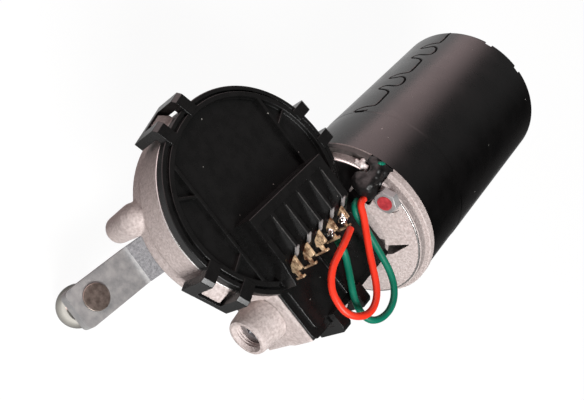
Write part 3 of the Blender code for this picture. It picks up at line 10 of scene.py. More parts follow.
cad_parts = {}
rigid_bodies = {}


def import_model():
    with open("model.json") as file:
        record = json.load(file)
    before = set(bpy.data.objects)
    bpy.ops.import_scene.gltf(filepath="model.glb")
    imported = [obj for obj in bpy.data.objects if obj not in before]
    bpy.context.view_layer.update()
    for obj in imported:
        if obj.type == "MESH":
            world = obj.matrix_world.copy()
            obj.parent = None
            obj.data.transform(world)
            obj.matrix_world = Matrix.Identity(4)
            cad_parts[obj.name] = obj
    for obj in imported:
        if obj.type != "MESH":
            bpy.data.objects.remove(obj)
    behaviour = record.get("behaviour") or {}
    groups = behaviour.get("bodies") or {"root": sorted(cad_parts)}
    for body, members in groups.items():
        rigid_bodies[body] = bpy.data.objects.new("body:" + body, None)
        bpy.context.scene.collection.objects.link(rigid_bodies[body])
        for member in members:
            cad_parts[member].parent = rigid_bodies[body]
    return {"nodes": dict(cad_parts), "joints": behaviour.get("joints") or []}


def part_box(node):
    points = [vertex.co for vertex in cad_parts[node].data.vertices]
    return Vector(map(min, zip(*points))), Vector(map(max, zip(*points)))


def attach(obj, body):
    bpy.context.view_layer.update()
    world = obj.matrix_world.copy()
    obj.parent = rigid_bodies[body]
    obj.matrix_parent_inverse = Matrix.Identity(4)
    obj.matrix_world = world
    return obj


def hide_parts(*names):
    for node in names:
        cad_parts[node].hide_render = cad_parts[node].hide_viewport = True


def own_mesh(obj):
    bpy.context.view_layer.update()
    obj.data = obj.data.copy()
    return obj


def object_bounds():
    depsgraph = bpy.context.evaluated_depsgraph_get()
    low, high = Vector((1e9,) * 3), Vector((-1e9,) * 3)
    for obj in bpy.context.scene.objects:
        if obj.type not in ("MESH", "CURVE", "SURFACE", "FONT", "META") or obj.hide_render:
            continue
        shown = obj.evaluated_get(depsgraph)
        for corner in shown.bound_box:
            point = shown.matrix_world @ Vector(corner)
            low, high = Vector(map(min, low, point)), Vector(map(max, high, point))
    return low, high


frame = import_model()
CAD_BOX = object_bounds()

# Lengths are in metres and angles in degrees.

# Camera, fitted to the photograph
CAMERA_PLACE = (-0.031454, -0.156202, 0.246189)
CAMERA_RIGHT = (0.59929, 0.55975, 0.57231)
CAMERA_UP = (-0.78473, 0.55212, 0.28172)
CAMERA_BACK = (-0.15829, -0.61794, 0.77013)
CAMERA_LENS = 49.436
SENSOR_WIDTH = 36.0

# Studio: what is mirrored from the dark side (+X) round to the lit side (-X), the lamps and the floor
SKY_LEVELS = ((0.10, 0.01), (0.24, 0.02), (0.42, 0.18), (0.66, 0.19), (0.78, 2.1), (0.90, 2.8))
SKY_WARMTH = 0.22
SKY_DIFFUSE = (0.085, 0.081, 0.080)
WHITE = (1.0, 1.0, 1.0)
LAMP_AIM = (0.02, 0.04, 0.02)
LAMP_DISTANCE = 0.7
KEY_DIRECTION = (0.46, -0.64, 0.62)
KEY_SIZE = (0.30, 0.26)
KEY_POWER = 7.0
SIDE_DIRECTION = (-0.88, 0.08, 0.39)
SIDE_SIZE = (0.3, 0.2)
SIDE_POWER = 0.25
FLOOR_SIZE = 4.0
FLOOR_GAP = 0.0004
FLOOR_MATT = (0.25, 0.25, 0.248)
FLOOR_GLOW = 1.31
FLOOR_SHARE = 0.72
FLOOR_MIRRORED = 1.1
FLOOR_DARK = 0.03
FLOOR_LIT_X = 0.09
FLOOR_DARK_X = 0.16
FLOOR_BAND_Y = -0.02
FLOOR_BAND_HALF = 0.02
FLOOR_BAND_END = 0.06
FLOOR_BAND = 0.12

# Motor
can_low, can_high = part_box("motor_can")
MOTOR_X = (can_low.x + can_high.x) / 2
MOTOR_Z = (can_low.z + can_high.z) / 2
CAN_RADIUS = (can_high.x - can_low.x) / 2
CAN_FRONT = can_low.y
CAN_REAR = can_high.y
CAN_WALL = 0.0016
SLEEVE_FRONT = 0.0627
SLEEVE_STEP = 0.00014
SEAM_ANGLE = 151.0
SEAM_PITCH = 0.0275
SEAM_FIRST = 0.1235
SEAM_WIDTH = 0.00048
SEAM_DEPTH = 0.0005
SEAM_STRIP = 0.00042
BOLT_ANGLE = 98.1
BOLT_CIRCLE = 0.0276
BOLT_FLATS = 0.008
BOLT_SEAT = 0.0327
BOLT_HEIGHT = 0.0033
BOLT_RADIUS = 0.00235
BOOT_ANGLE = 117.4
CAN_EDGE = 0.0003
CAN_REAR_EDGE = 0.0005
SLEEVE_RAMP = 0.0008
SLEEVE_RINGS = 46
SEAM_TONGUES = 3
SEAM_SPACING = 0.0004
STRIP_DEPTH = 0.0003
STRIP_SUNK = 0.00001
PATCH_LOW = -0.0035
PATCH_HIGH = 0.0105
PATCH_MARGIN = 0.0005
NOTCH_ANGLES = (119.8, 91.7)
NOTCH_HALF = 0.0015
NOTCH_DEPTH = 0.0015
DOME_HEIGHT = 0.0015
BEAD_COUNT = 6
BEAD_HALF = 0.0012
BEAD_RECESS = 0.0008
CAP_PLATE = 0.0025
CAP_HUB_RADIUS = 0.009
CAP_HUB_LENGTH = 0.0115
BOLT_ANGLES = (BOLT_ANGLE, BOLT_ANGLE + 180)
MARK_RADIUS = 0.0031
MARK_NARROWING = 0.86

# One tongue of the can's seam, as (distance along the motor, distance round the can)
SEAM_TONGUE = (
    (0.0, 0.0006), (0.0011, 0.0022), (0.0019, 0.0052), (0.0036, 0.0076), (0.0047, 0.0077), (0.0049, 0.0050),
    (0.0044, 0.0022), (0.0055, 0.0001), (0.0083, -0.0011), (0.0113, -0.0007), (0.0122, 0.0012),
    (0.0117, 0.0050), (0.0124, 0.0069), (0.0138, 0.0074), (0.0150, 0.0045), (0.0163, 0.0019),
    (0.0182, 0.0007), (0.0230, 0.0005),
)

# Gearbox casting
CUP_RADIUS = 0.0348
CUP_INNER = 0.0322
CUP_BOTTOM = 0.0195
CHAMBER_FLOOR = 0.0212
RIM_Z = 0.0384
PARTING_Z = 0.0262
BOX_SIDE_X = 0.0492
BOX_INNER_X = 0.0235
BOX_FRONT = -0.0183
BOX_BOTTOM_RADIUS = 0.012
FLANGE_FRONT = 0.033
FLANGE_REAR = 0.0396
FLANGE_RADIUS = 0.0324
NECK_RADIUS = 0.0304
LIP_FRONT = 0.0364
LIP_EDGE = 0.0388
VALLEY = ((0.0140, 30.0, 0.0270), (0.0140, 50.0, 0.0270), (0.0150, 46.0, 0.0352), (0.0205, 38.0, 0.0290),
          (0.0205, 52.0, 0.0290), (0.0210, 50.0, 0.0350), (0.0275, 57.0, 0.0318))
BOSS_CIRCLE = 0.0337
BOSS_ANGLES = (0.0, 118.5, -118.5)
BOSS_END = 0.0055
OUTPUT_BOSS_RADIUS = 0.01045
THRUST_BOSS_FRONT = -0.0297
THRUST_BOSS_REAR = -0.019
THRUST_HOLE = 0.0047
CAST_VOXEL = 0.0004
BOX_WALL = 0.0032
TROUGH_RADIUS = 0.0085
TROUGH_FRONT = -0.0146
TROUGH_REAR = 0.023
BOSS_HOLE = 0.0026
SHAFT_BORE = 0.00745
FLANGE_BORE = 0.0092
FLANGE_FACE = 0.0302
FACE_RADIUS = 0.018
NECK_BEVEL = 0.001
SPIGOT_OUTER = 0.0301
SPIGOT_INNER = 0.0289
SPIGOT_REAR = 0.0412
RECESS_RADIUS = 0.0269
RECESS_FLOOR = 0.0362
BOLT_HOLE = 0.00265
POCKET_RADIUS = 0.0056
POCKET_FRONT = 0.025
WIRE_SLOT = ((0.0193, -0.0045, 0.0274), (0.0364, 0.0045, 0.0422))
PAINTED_SHADE_END = 176
VALLEY_START = 30
VALLEY_END = 60
VALLEY_INNER = 0.013
VALLEY_OUTER = 0.028
VALLEY_REAR = 0.036
THREAD_PITCH = 0.001
THREAD_DEPTH = 0.00045

# Bores along the motor's axis, as (radius, start, end)
MOTOR_BORES = ((FLANGE_BORE, 0.025, 0.045), (0.0035, 0.02, 0.03), (THRUST_HOLE, -0.022, -0.0186),
               (0.0053, -0.0192, -0.0130))

# Cover
COVER_LOW = 0.0396
COVER_FACE = 0.0416
COVER_RADIUS = 0.0351
RING_INNER = 0.031
RING_OUTER = 0.0328
RING_TOP = 0.0434
RIM_INNER = 0.0335
RIM_TOP = 0.0429
GROOVE_FLOOR = 0.042
CHORD_RIB_Y = 0.0215
PLATE_TOP = 0.0412
PLATE_END_Y = 0.0297
BLOCK_BACK = 0.004
BLOCK_FRONT = 0.0286
BLOCK_LEFT = -0.0169
BLOCK_RIGHT = 0.0222
BLOCK_TOP = 0.0502
SLOPE_TOP = 0.0207
SLOPE_LOW = 0.0268
BLOCK_TOE = 0.0432
TERMINAL_PITCH = 0.00695
TERMINAL_YS = tuple(-0.0118 + TERMINAL_PITCH * n for n in range(5))
CHANNEL_HALF = 0.0028
CLIP_ANGLES = (-163.0, -65.0, 96.0)
CLIP_INNER = 0.0359
CLIP_OUTER = 0.0390
CLIP_LOW = 0.0301
CLIP_TOP = 0.0437
CLIP_HALF = 0.0085
CLIP_POST = 0.0042
CLIP_BAR = 0.0026
SIDE_CLIP_SHIFT = (0.015, -0.0004, 0)
CLIP_PLAY = 0.0007
CLIP_SEAT = 0.041
CLIP_STEP = 0.04
LUG_HEIGHT = 0.0042
COVER_FILLET = 0.00025
LOCATOR_OUTER = 0.0319
LOCATOR_INNER = 0.0304
LOCATOR_LOW = COVER_LOW - 0.0018
PLATE_INNER_X = 0.0246
PLATE_STEP = 0.0026
RIB_INSET = 0.0009
CHORD_RIB_HALF = 0.0006
SHORT_RIB_HALF = 0.0005
SHORT_RIB_ANGLES = (117.0, -63.0, -117.0)
FIN_HALF = TERMINAL_PITCH / 2 - CHANNEL_HALF
TERMINAL_HALF = 0.0005
TERMINAL_OUTLINE = (
    (0.0219, 0.0503), (0.0266, 0.0501, 0.0003), (0.0270, 0.0470), (0.0289, 0.0470), (0.0288, 0.0484, 0.0002),
    (0.0296, 0.0484, 0.0002), (0.0299, 0.0415), (0.0291, 0.0415), (0.0290, 0.0458), (0.0272, 0.0458),
    (0.0269, 0.0446, 0.0002), (0.0244, 0.0461),
)

# Crank and ball stud
CRANK_ANGLE = -93.0
ARM_WIDTH = 0.0152
ARM_TOP = -0.0042
ARM_THICKNESS = 0.005
ARM_LENGTH = 0.0434
ARM_TIP = 0.0085
ARM_DROP = 0.0068
BEND_START = 0.016
BEND_END = 0.0245
ARM_EDGE = 0.00035
ARM_HOLE = 0.0043
HUB_RADIUS = 0.0098
HUB_BACK = 0.011
BALL_RADIUS = 0.008
STUD_NECK = 0.0043
STUD_COLLAR = 0.0072
STUD_SHANK = 0.004
STUD_PLAY = 0.0003
COLLAR_HEIGHT = 0.0022
NECK_HEIGHT = 0.0021
RIVET_RADIUS = 0.0049

# Jumper wires
WIRE_DIAMETER = 0.0025
WIRE_SPACING = WIRE_DIAMETER * 0.4
RED_ROUTE = (
    (0.0302, 0.0151, 0.0483), (0.0307, 0.0129, 0.0486), (0.0318, 0.0087, 0.0488),
    (0.0330, 0.0039, 0.0485), (0.0345, -0.0003, 0.0480), (0.0371, -0.0040, 0.0476),
    (0.0406, -0.0066, 0.0475), (0.0459, -0.0075, 0.0475), (0.0493, -0.0066, 0.0475),
    (0.0521, -0.0044, 0.0475), (0.0541, -0.0011, 0.0475), (0.0545, 0.0028, 0.0475),
    (0.0529, 0.0070, 0.0475), (0.0497, 0.0103, 0.0475), (0.0457, 0.0131, 0.0475),
    (0.0414, 0.0157, 0.0477), (0.0375, 0.0183, 0.0480), (0.0338, 0.0207, 0.0484),
    (0.0305, 0.0226, 0.0489), (0.0277, 0.0239, 0.0492), (0.0265, 0.0252, 0.0494),
    (0.0263, 0.0271, 0.0494),
)
GREEN_ROUTE = (
    (0.0302, 0.00905, 0.0461), (0.0325, 0.0094, 0.0457), (0.0356, 0.0093, 0.0449),
    (0.0402, 0.0072, 0.0442), (0.0444, 0.0047, 0.0438), (0.0483, 0.0025, 0.0434),
    (0.0520, 0.0013, 0.0432), (0.0556, 0.0011, 0.0432), (0.0588, 0.0027, 0.0433),
    (0.0609, 0.0064, 0.0434), (0.0614, 0.0112, 0.0435), (0.0599, 0.0161, 0.0435),
    (0.0564, 0.0199, 0.0435), (0.0516, 0.0221, 0.0435), (0.0467, 0.0230, 0.0436),
    (0.0410, 0.0237, 0.0439), (0.0362, 0.0240, 0.0443), (0.0318, 0.0237, 0.0449),
    (0.0286, 0.0237, 0.0456), (0.0264, 0.0249, 0.0462), (0.0260, 0.0271, 0.0463),
)

# Skin of the lumps, and folds of the boot
LUMP_SCALE = 700
FOLD_SCALE = 300
FOLD_HEIGHT = 0.0006
CREASE_SCALE = 800
CREASE_HEIGHT = 0.00012

# Balls that run together into a lump, as (x, y, z, radius)
BOOT_SPOTS = (
    (0.0236, 0.0301, 0.0510, 0.0042), (0.0212, 0.0306, 0.0500, 0.0037), (0.0256, 0.0301, 0.0494, 0.0031),
    (0.0226, 0.0332, 0.0528, 0.0031), (0.0211, 0.0352, 0.0546, 0.0025), (0.0232, 0.0370, 0.0550, 0.0022),
    (0.0250, 0.0384, 0.0557, 0.0014), (0.0254, 0.0340, 0.0530, 0.0022), (0.0191, 0.0376, 0.0530, 0.0024),
)
FLASH_SPOTS = (
    (0.0151, 0.0346, 0.0497, 0.0009), (0.0163, 0.0345, 0.0503, 0.0013), (0.0175, 0.0346, 0.0509, 0.0014),
    (0.0187, 0.0347, 0.0511, 0.0010), (0.0163, 0.0355, 0.0509, 0.0010), (0.0177, 0.0342, 0.0497, 0.0009),
)
WIRE_END_SPOTS = (
    (0.0200, 0.0362, 0.0564, 0.0008), (0.0206, 0.0372, 0.0561, 0.0009), (0.0213, 0.0380, 0.0557, 0.0009),
)
SOLDER_SPOTS = {
    4: ((0.0262, 0.0086, 0.0472, 0.0013), (0.0271, 0.0084, 0.0468, 0.0012),
        (0.0278, 0.0087, 0.0464, 0.0008), (0.0266, 0.0082, 0.0461, 0.0010)),
    5: ((0.0248, 0.0156, 0.0488, 0.0011), (0.0258, 0.0154, 0.0479, 0.0015),
        (0.0268, 0.0154, 0.0470, 0.0012), (0.0276, 0.0156, 0.0464, 0.0009),
        (0.0264, 0.0152, 0.0486, 0.0010)),
}

HERE = Matrix.Identity(4)
ROUND = 96
WELD = 1e-6
CORNER_SHARE = 0.49
CURVE_STEPS = 8


# Shapes

def softened(corners, closed=False, steps=4):
    """The points of an outline whose corners may carry a radius as a third number."""
    points = []
    count = len(corners)
    for index, corner in enumerate(corners):
        here = Vector(corner[:2])
        if len(corner) < 3 or (not closed and index in (0, count - 1)):
            points.append(here)
            continue
        back = Vector(corners[index - 1][:2]) - here
        ahead = Vector(corners[(index + 1) % count][:2]) - here
        reach = corner[2] / math.tan(back.angle(ahead) / 2)
        reach = min(reach, CORNER_SHARE * back.length, CORNER_SHARE * ahead.length)
        start = here + back.normalized() * reach
        end = here + ahead.normalized() * reach
        for step in range(steps + 1):
            t = step / steps
            points.append((1 - t) ** 2 * start + 2 * (1 - t) * t * here + t * t * end)
    return points


def arc(centre, radius, start, end, steps):
    """Points on part of a circle, in degrees."""
    angles = [math.radians(start + (end - start) * step / steps) for step in range(steps + 1)]
    return [(centre[0] + radius * math.cos(a), centre[1] + radius * math.sin(a)) for a in angles]


def closed_up(shape):
    """Weld a shape's double points and turn its faces outwards."""
    bmesh.ops.remove_doubles(shape, verts=shape.verts, dist=WELD)
    bmesh.ops.recalc_face_normals(shape, faces=shape.faces)
    return shape


def turned(profile, place=HERE, steps=ROUND, closed=False):
    """A profile of (radius, height) points spun about local Z."""
    shape = bmesh.new()
    verts = [shape.verts.new((p[0], 0, p[1])) for p in softened(profile, closed)]
    pairs = list(zip(verts, verts[1:]))
    if closed:
        pairs.append((verts[-1], verts[0]))
    edges = [shape.edges.new(pair) for pair in pairs]
    bmesh.ops.spin(shape, geom=verts + edges, cent=(0, 0, 0), axis=(0, 0, 1), dvec=(0, 0, 0),
                   angle=math.tau, steps=steps, use_merge=True, use_duplicate=False)
    bmesh.ops.transform(shape, matrix=place, verts=shape.verts)
    return closed_up(shape)


def rod(radius, low, high, place=HERE, steps=ROUND):
    """A plain cylinder along local Z."""
    return turned([(0, low), (radius, low), (radius, high), (0, high)], place, steps)


def softened_edges(shape, width, steps=2, sharp=25):
    """Bevel every edge that is sharper than an angle."""
    edges = [e for e in shape.edges if e.is_manifold and e.calc_face_angle(0) > math.radians(sharp)]
    bmesh.ops.bevel(shape, geom=edges, offset=width, offset_type="OFFSET", segments=steps, profile=0.5,
                    affect="EDGES", clamp_overlap=True, material=-1)
    return shape


def slab(outline, low, high, edge=0.0, place=HERE, steps=4):
    """An outline in local X and Y, drawn up along local Z, with softened edges."""
    shape = bmesh.new()
    face = shape.faces.new([shape.verts.new((p[0], p[1], low)) for p in softened(outline, True, steps)])
    drawn = bmesh.ops.extrude_face_region(shape, geom=[face])["geom"]
    top = [part for part in drawn if isinstance(part, bmesh.types.BMVert)]
    bmesh.ops.translate(shape, vec=(0, 0, high - low), verts=top)
    bmesh.ops.recalc_face_normals(shape, faces=shape.faces)
    if edge:
        softened_edges(shape, edge)
    bmesh.ops.transform(shape, matrix=place, verts=shape.verts)
    return closed_up(shape)


def brick(low, high, edge=0.0, place=HERE):
    """A box between two corners, with softened edges."""
    shape = bmesh.new()
    size = Vector(high) - Vector(low)
    middle = (Vector(high) + Vector(low)) / 2
    bmesh.ops.create_cube(shape, size=1, matrix=Matrix.Translation(middle) @ Matrix.Diagonal((*size, 1)))
    if edge:
        softened_edges(shape, edge)
    bmesh.ops.transform(shape, matrix=place, verts=shape.verts)
    return closed_up(shape)


def spoke(angle):
    """Local X points out from the motor's axis at an angle, and local Z runs along the motor."""
    turn = math.radians(angle)
    out = Vector((math.cos(turn), 0, math.sin(turn)))
    along = Vector((0, 1, 0))
    place = Matrix((out, along.cross(out), along)).transposed().to_4x4()
    place.translation = (MOTOR_X, 0, MOTOR_Z)
    return place


def bolt_place(angle):
    """Place of a through bolt round the motor's axis."""
    return spoke(angle) @ Matrix.Translation((BOLT_CIRCLE, 0, 0))


def turn_z(angle):
    """Turn about the output axis, in degrees."""
    return Matrix.Rotation(math.radians(angle), 4, "Z")


# Local X, Y and Z become world X, Z and Y, for outlines drawn as seen along the motor.
SIDEWAYS = Matrix(((1, 0, 0, 0), (0, 0, 1, 0), (0, 1, 0, 0), (0, 0, 0, 1)))


def as_object(name, shape):
    """Put a shape into the scene as an object."""
    mesh = bpy.data.meshes.new(name)
    shape.to_mesh(mesh)
    shape.free()
    item = bpy.data.objects.new(name, mesh)
    bpy.context.scene.collection.objects.link(item)
    return item


def joined(shapes):
    """One shape made of several that stay apart."""
    whole = bmesh.new()
    for shape in shapes:
        mesh = bpy.data.meshes.new("part")
        shape.to_mesh(mesh)
        shape.free()
        whole.from_mesh(mesh)
        bpy.data.meshes.remove(mesh)
    return whole


def applied(item):
    """Make the modifiers' result the object's own mesh."""
    result = bpy.data.meshes.new_from_object(item.evaluated_get(bpy.context.evaluated_depsgraph_get()))
    item.modifiers.clear()
    old = item.data
    item.data = result
    bpy.data.meshes.remove(old)
    return item


def combined(item, operation, shapes):
    """Join shapes to an object, cut them out of it, or keep only what they share."""
    for shape in shapes:
        tool = as_object("tool", shape)
        step = item.modifiers.new("step", "BOOLEAN")
        step.operation = operation
        step.solver = "MANIFOLD"
        step.object = tool
        applied(item)
        mesh = tool.data
        bpy.data.objects.remove(tool)
        bpy.data.meshes.remove(mesh)
    return item


def cast(item, voxel, smoothing, keep):
    """Run the shapes of a piece into each other with soft corners, and keep a share of the faces."""
    step = item.modifiers.new("cast", "REMESH")
    step.mode = "VOXEL"
    step.voxel_size = voxel
    applied(item)
    shape = bmesh.new()
    shape.from_mesh(item.data)
    for _ in range(smoothing):
        bmesh.ops.smooth_vert(shape, verts=shape.verts, factor=0.5, use_axis_x=True, use_axis_y=True,
                              use_axis_z=True)
    shape.to_mesh(item.data)
    shape.free()
    if keep < 1:
        step = item.modifiers.new("thin", "DECIMATE")
        step.ratio = keep
        applied(item)
    return item


def dressed(item, name, look, body, nodes=(), smooth=50, flat=True):
    """Name a finished piece, give it its finish, and let it ride on its body."""
    item.data.materials.clear()
    item.data.materials.append(look)
    item.data.shade_smooth()
    item.data.set_sharp_from_angle(angle=math.radians(smooth))
    if flat:
        step = item.modifiers.new("normals", "WEIGHTED_NORMAL")
        step.keep_sharp = True
        applied(item)
    item.name = name
    item.data.name = name
    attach(item, body)
    if nodes:
        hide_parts(*nodes)
    return item


# Finishes

def node_group(name, inputs, outputs):
    """A new shader group, with its named inputs and outputs."""
    tree = bpy.data.node_groups.new(name, "ShaderNodeTree")
    for label, value in inputs:
        socket = tree.interface.new_socket(label, in_out="INPUT", socket_type="NodeSocketFloat")
        socket.default_value = value
    for label in outputs:
        tree.interface.new_socket(label, in_out="OUTPUT", socket_type="NodeSocketFloat")
    return tree, tree.nodes.new("NodeGroupInput").outputs, tree.nodes.new("NodeGroupOutput").inputs


def add_node(tree, kind, **values):
    """A new node with its settings."""
    node = tree.nodes.new(kind)
    for label, value in values.items():
        setattr(node, label, value)
    return node


def mottle_group():
    """Soft patches: a mask that runs from 0 to 1."""
    tree, given, out = node_group("mottle", (("Scale", 200), ("Low", 0.35), ("High", 0.65)), ("Mask",))
    where = add_node(tree, "ShaderNodeTexCoord")
    cloud = add_node(tree, "ShaderNodeTexNoise")
    cloud.inputs["Detail"].default_value = 5
    cloud.inputs["Roughness"].default_value = 0.6
    stretch = add_node(tree, "ShaderNodeMapRange")
    tree.links.new(where.outputs["Object"], cloud.inputs["Vector"])
    tree.links.new(given["Scale"], cloud.inputs["Scale"])
    tree.links.new(cloud.outputs["Fac"], stretch.inputs["Value"])
    tree.links.new(given["Low"], stretch.inputs["From Min"])
    tree.links.new(given["High"], stretch.inputs["From Max"])
    tree.links.new(stretch.outputs["Result"], out["Mask"])
    return tree


def grain_group():
    """Fine relief in two sizes."""
    tree, given, out = node_group("grain", (("Scale", 2000), ("Fine", 3.1)), ("Height",))
    where = add_node(tree, "ShaderNodeTexCoord")
    coarse = add_node(tree, "ShaderNodeTexNoise")
    coarse.inputs["Detail"].default_value = 2
    finer = add_node(tree, "ShaderNodeTexNoise")
    finer.inputs["Detail"].default_value = 1
    times = add_node(tree, "ShaderNodeMath", operation="MULTIPLY")
    total = add_node(tree, "ShaderNodeMath", operation="ADD")
    for cloud in (coarse, finer):
        tree.links.new(where.outputs["Object"], cloud.inputs["Vector"])
    tree.links.new(given["Scale"], coarse.inputs["Scale"])
    tree.links.new(given["Scale"], times.inputs[0])
    tree.links.new(given["Fine"], times.inputs[1])
    tree.links.new(times.outputs[0], finer.inputs["Scale"])
    tree.links.new(coarse.outputs["Fac"], total.inputs[0])
    tree.links.new(finer.outputs["Fac"], total.inputs[1])
    tree.links.new(total.outputs[0], out["Height"])
    return tree


def dust_group():
    """Scattered small specks."""
    tree, given, out = node_group("dust", (("Scale", 300), ("Share", 0.1), ("Size", 0.1)), ("Mask",))
    where = add_node(tree, "ShaderNodeTexCoord")
    cells = add_node(tree, "ShaderNodeTexVoronoi")
    chosen = add_node(tree, "ShaderNodeSeparateColor")
    few = add_node(tree, "ShaderNodeMath", operation="LESS_THAN")
    near = add_node(tree, "ShaderNodeMath", operation="LESS_THAN")
    both = add_node(tree, "ShaderNodeMath", operation="MULTIPLY")
    tree.links.new(where.outputs["Object"], cells.inputs["Vector"])
    tree.links.new(given["Scale"], cells.inputs["Scale"])
    tree.links.new(cells.outputs["Color"], chosen.inputs[0])
    tree.links.new(chosen.outputs["Red"], few.inputs[0])
    tree.links.new(given["Share"], few.inputs[1])
    tree.links.new(cells.outputs["Distance"], near.inputs[0])
    tree.links.new(given["Size"], near.inputs[1])
    tree.links.new(few.outputs[0], both.inputs[0])
    tree.links.new(near.outputs[0], both.inputs[1])
    tree.links.new(both.outputs[0], out["Mask"])
    return tree


GROUPS = {"mottle": mottle_group(), "grain": grain_group(), "dust": dust_group()}


def placed_group(tree, kind, **values):
    """Place one of the shared groups with a finish's own values."""
    node = tree.nodes.new("ShaderNodeGroup")
    node.node_tree = GROUPS[kind]
    for label, value in values.items():
        node.inputs[label].default_value = value
    return node.outputs[0]


def tinted(tree, mask, below, above):
    """Mix two colours, or a colour socket and a colour, by a mask."""
    mix = add_node(tree, "ShaderNodeMix", data_type="RGBA")
    tree.links.new(mask, mix.inputs[0])
    for socket, colour in ((mix.inputs[6], below), (mix.inputs[7], above)):
        if isinstance(colour, tuple):
            socket.default_value = (*colour, 1)
        else:
            tree.links.new(colour, socket)
    return mix.outputs[2]


def ranged(tree, mask, low, high):
    """Stretch a mask between two values."""
    stretch = add_node(tree, "ShaderNodeMapRange")
    tree.links.new(mask, stretch.inputs["Value"])
    stretch.inputs["To Min"].default_value = low
    stretch.inputs["To Max"].default_value = high
    return stretch.outputs["Result"]


def finish(name, tones, rough, metal=0.0, patches=150, grain=2500, relief=0.00002, dust=None,
           spread=(0.35, 0.65), **sockets):
    """A surface with patches of two tones, grain, and if wanted dust as (colour, scale, share, size)."""
    look = bpy.data.materials.new(name)
    look.use_nodes = True
    tree = look.node_tree
    shader = tree.nodes["Principled BSDF"]
    mask = placed_group(tree, "mottle", Scale=patches, Low=spread[0], High=spread[1])
    colour = tinted(tree, mask, *tones)
    if dust:
        tint, scale, share, size = dust
        specks = placed_group(tree, "dust", Scale=scale, Share=share, Size=size)
        colour = tinted(tree, specks, colour, tint)
    tree.links.new(colour, shader.inputs["Base Color"])
    tree.links.new(ranged(tree, mask, *rough), shader.inputs["Roughness"])
    shader.inputs["Metallic"].default_value = metal
    for label, value in sockets.items():
        shader.inputs[label.replace("_", " ")].default_value = value
    bump = add_node(tree, "ShaderNodeBump")
    bump.inputs["Distance"].default_value = relief
    tree.links.new(placed_group(tree, "grain", Scale=grain), bump.inputs["Height"])
    tree.links.new(bump.outputs["Normal"], shader.inputs["Normal"])
    return look


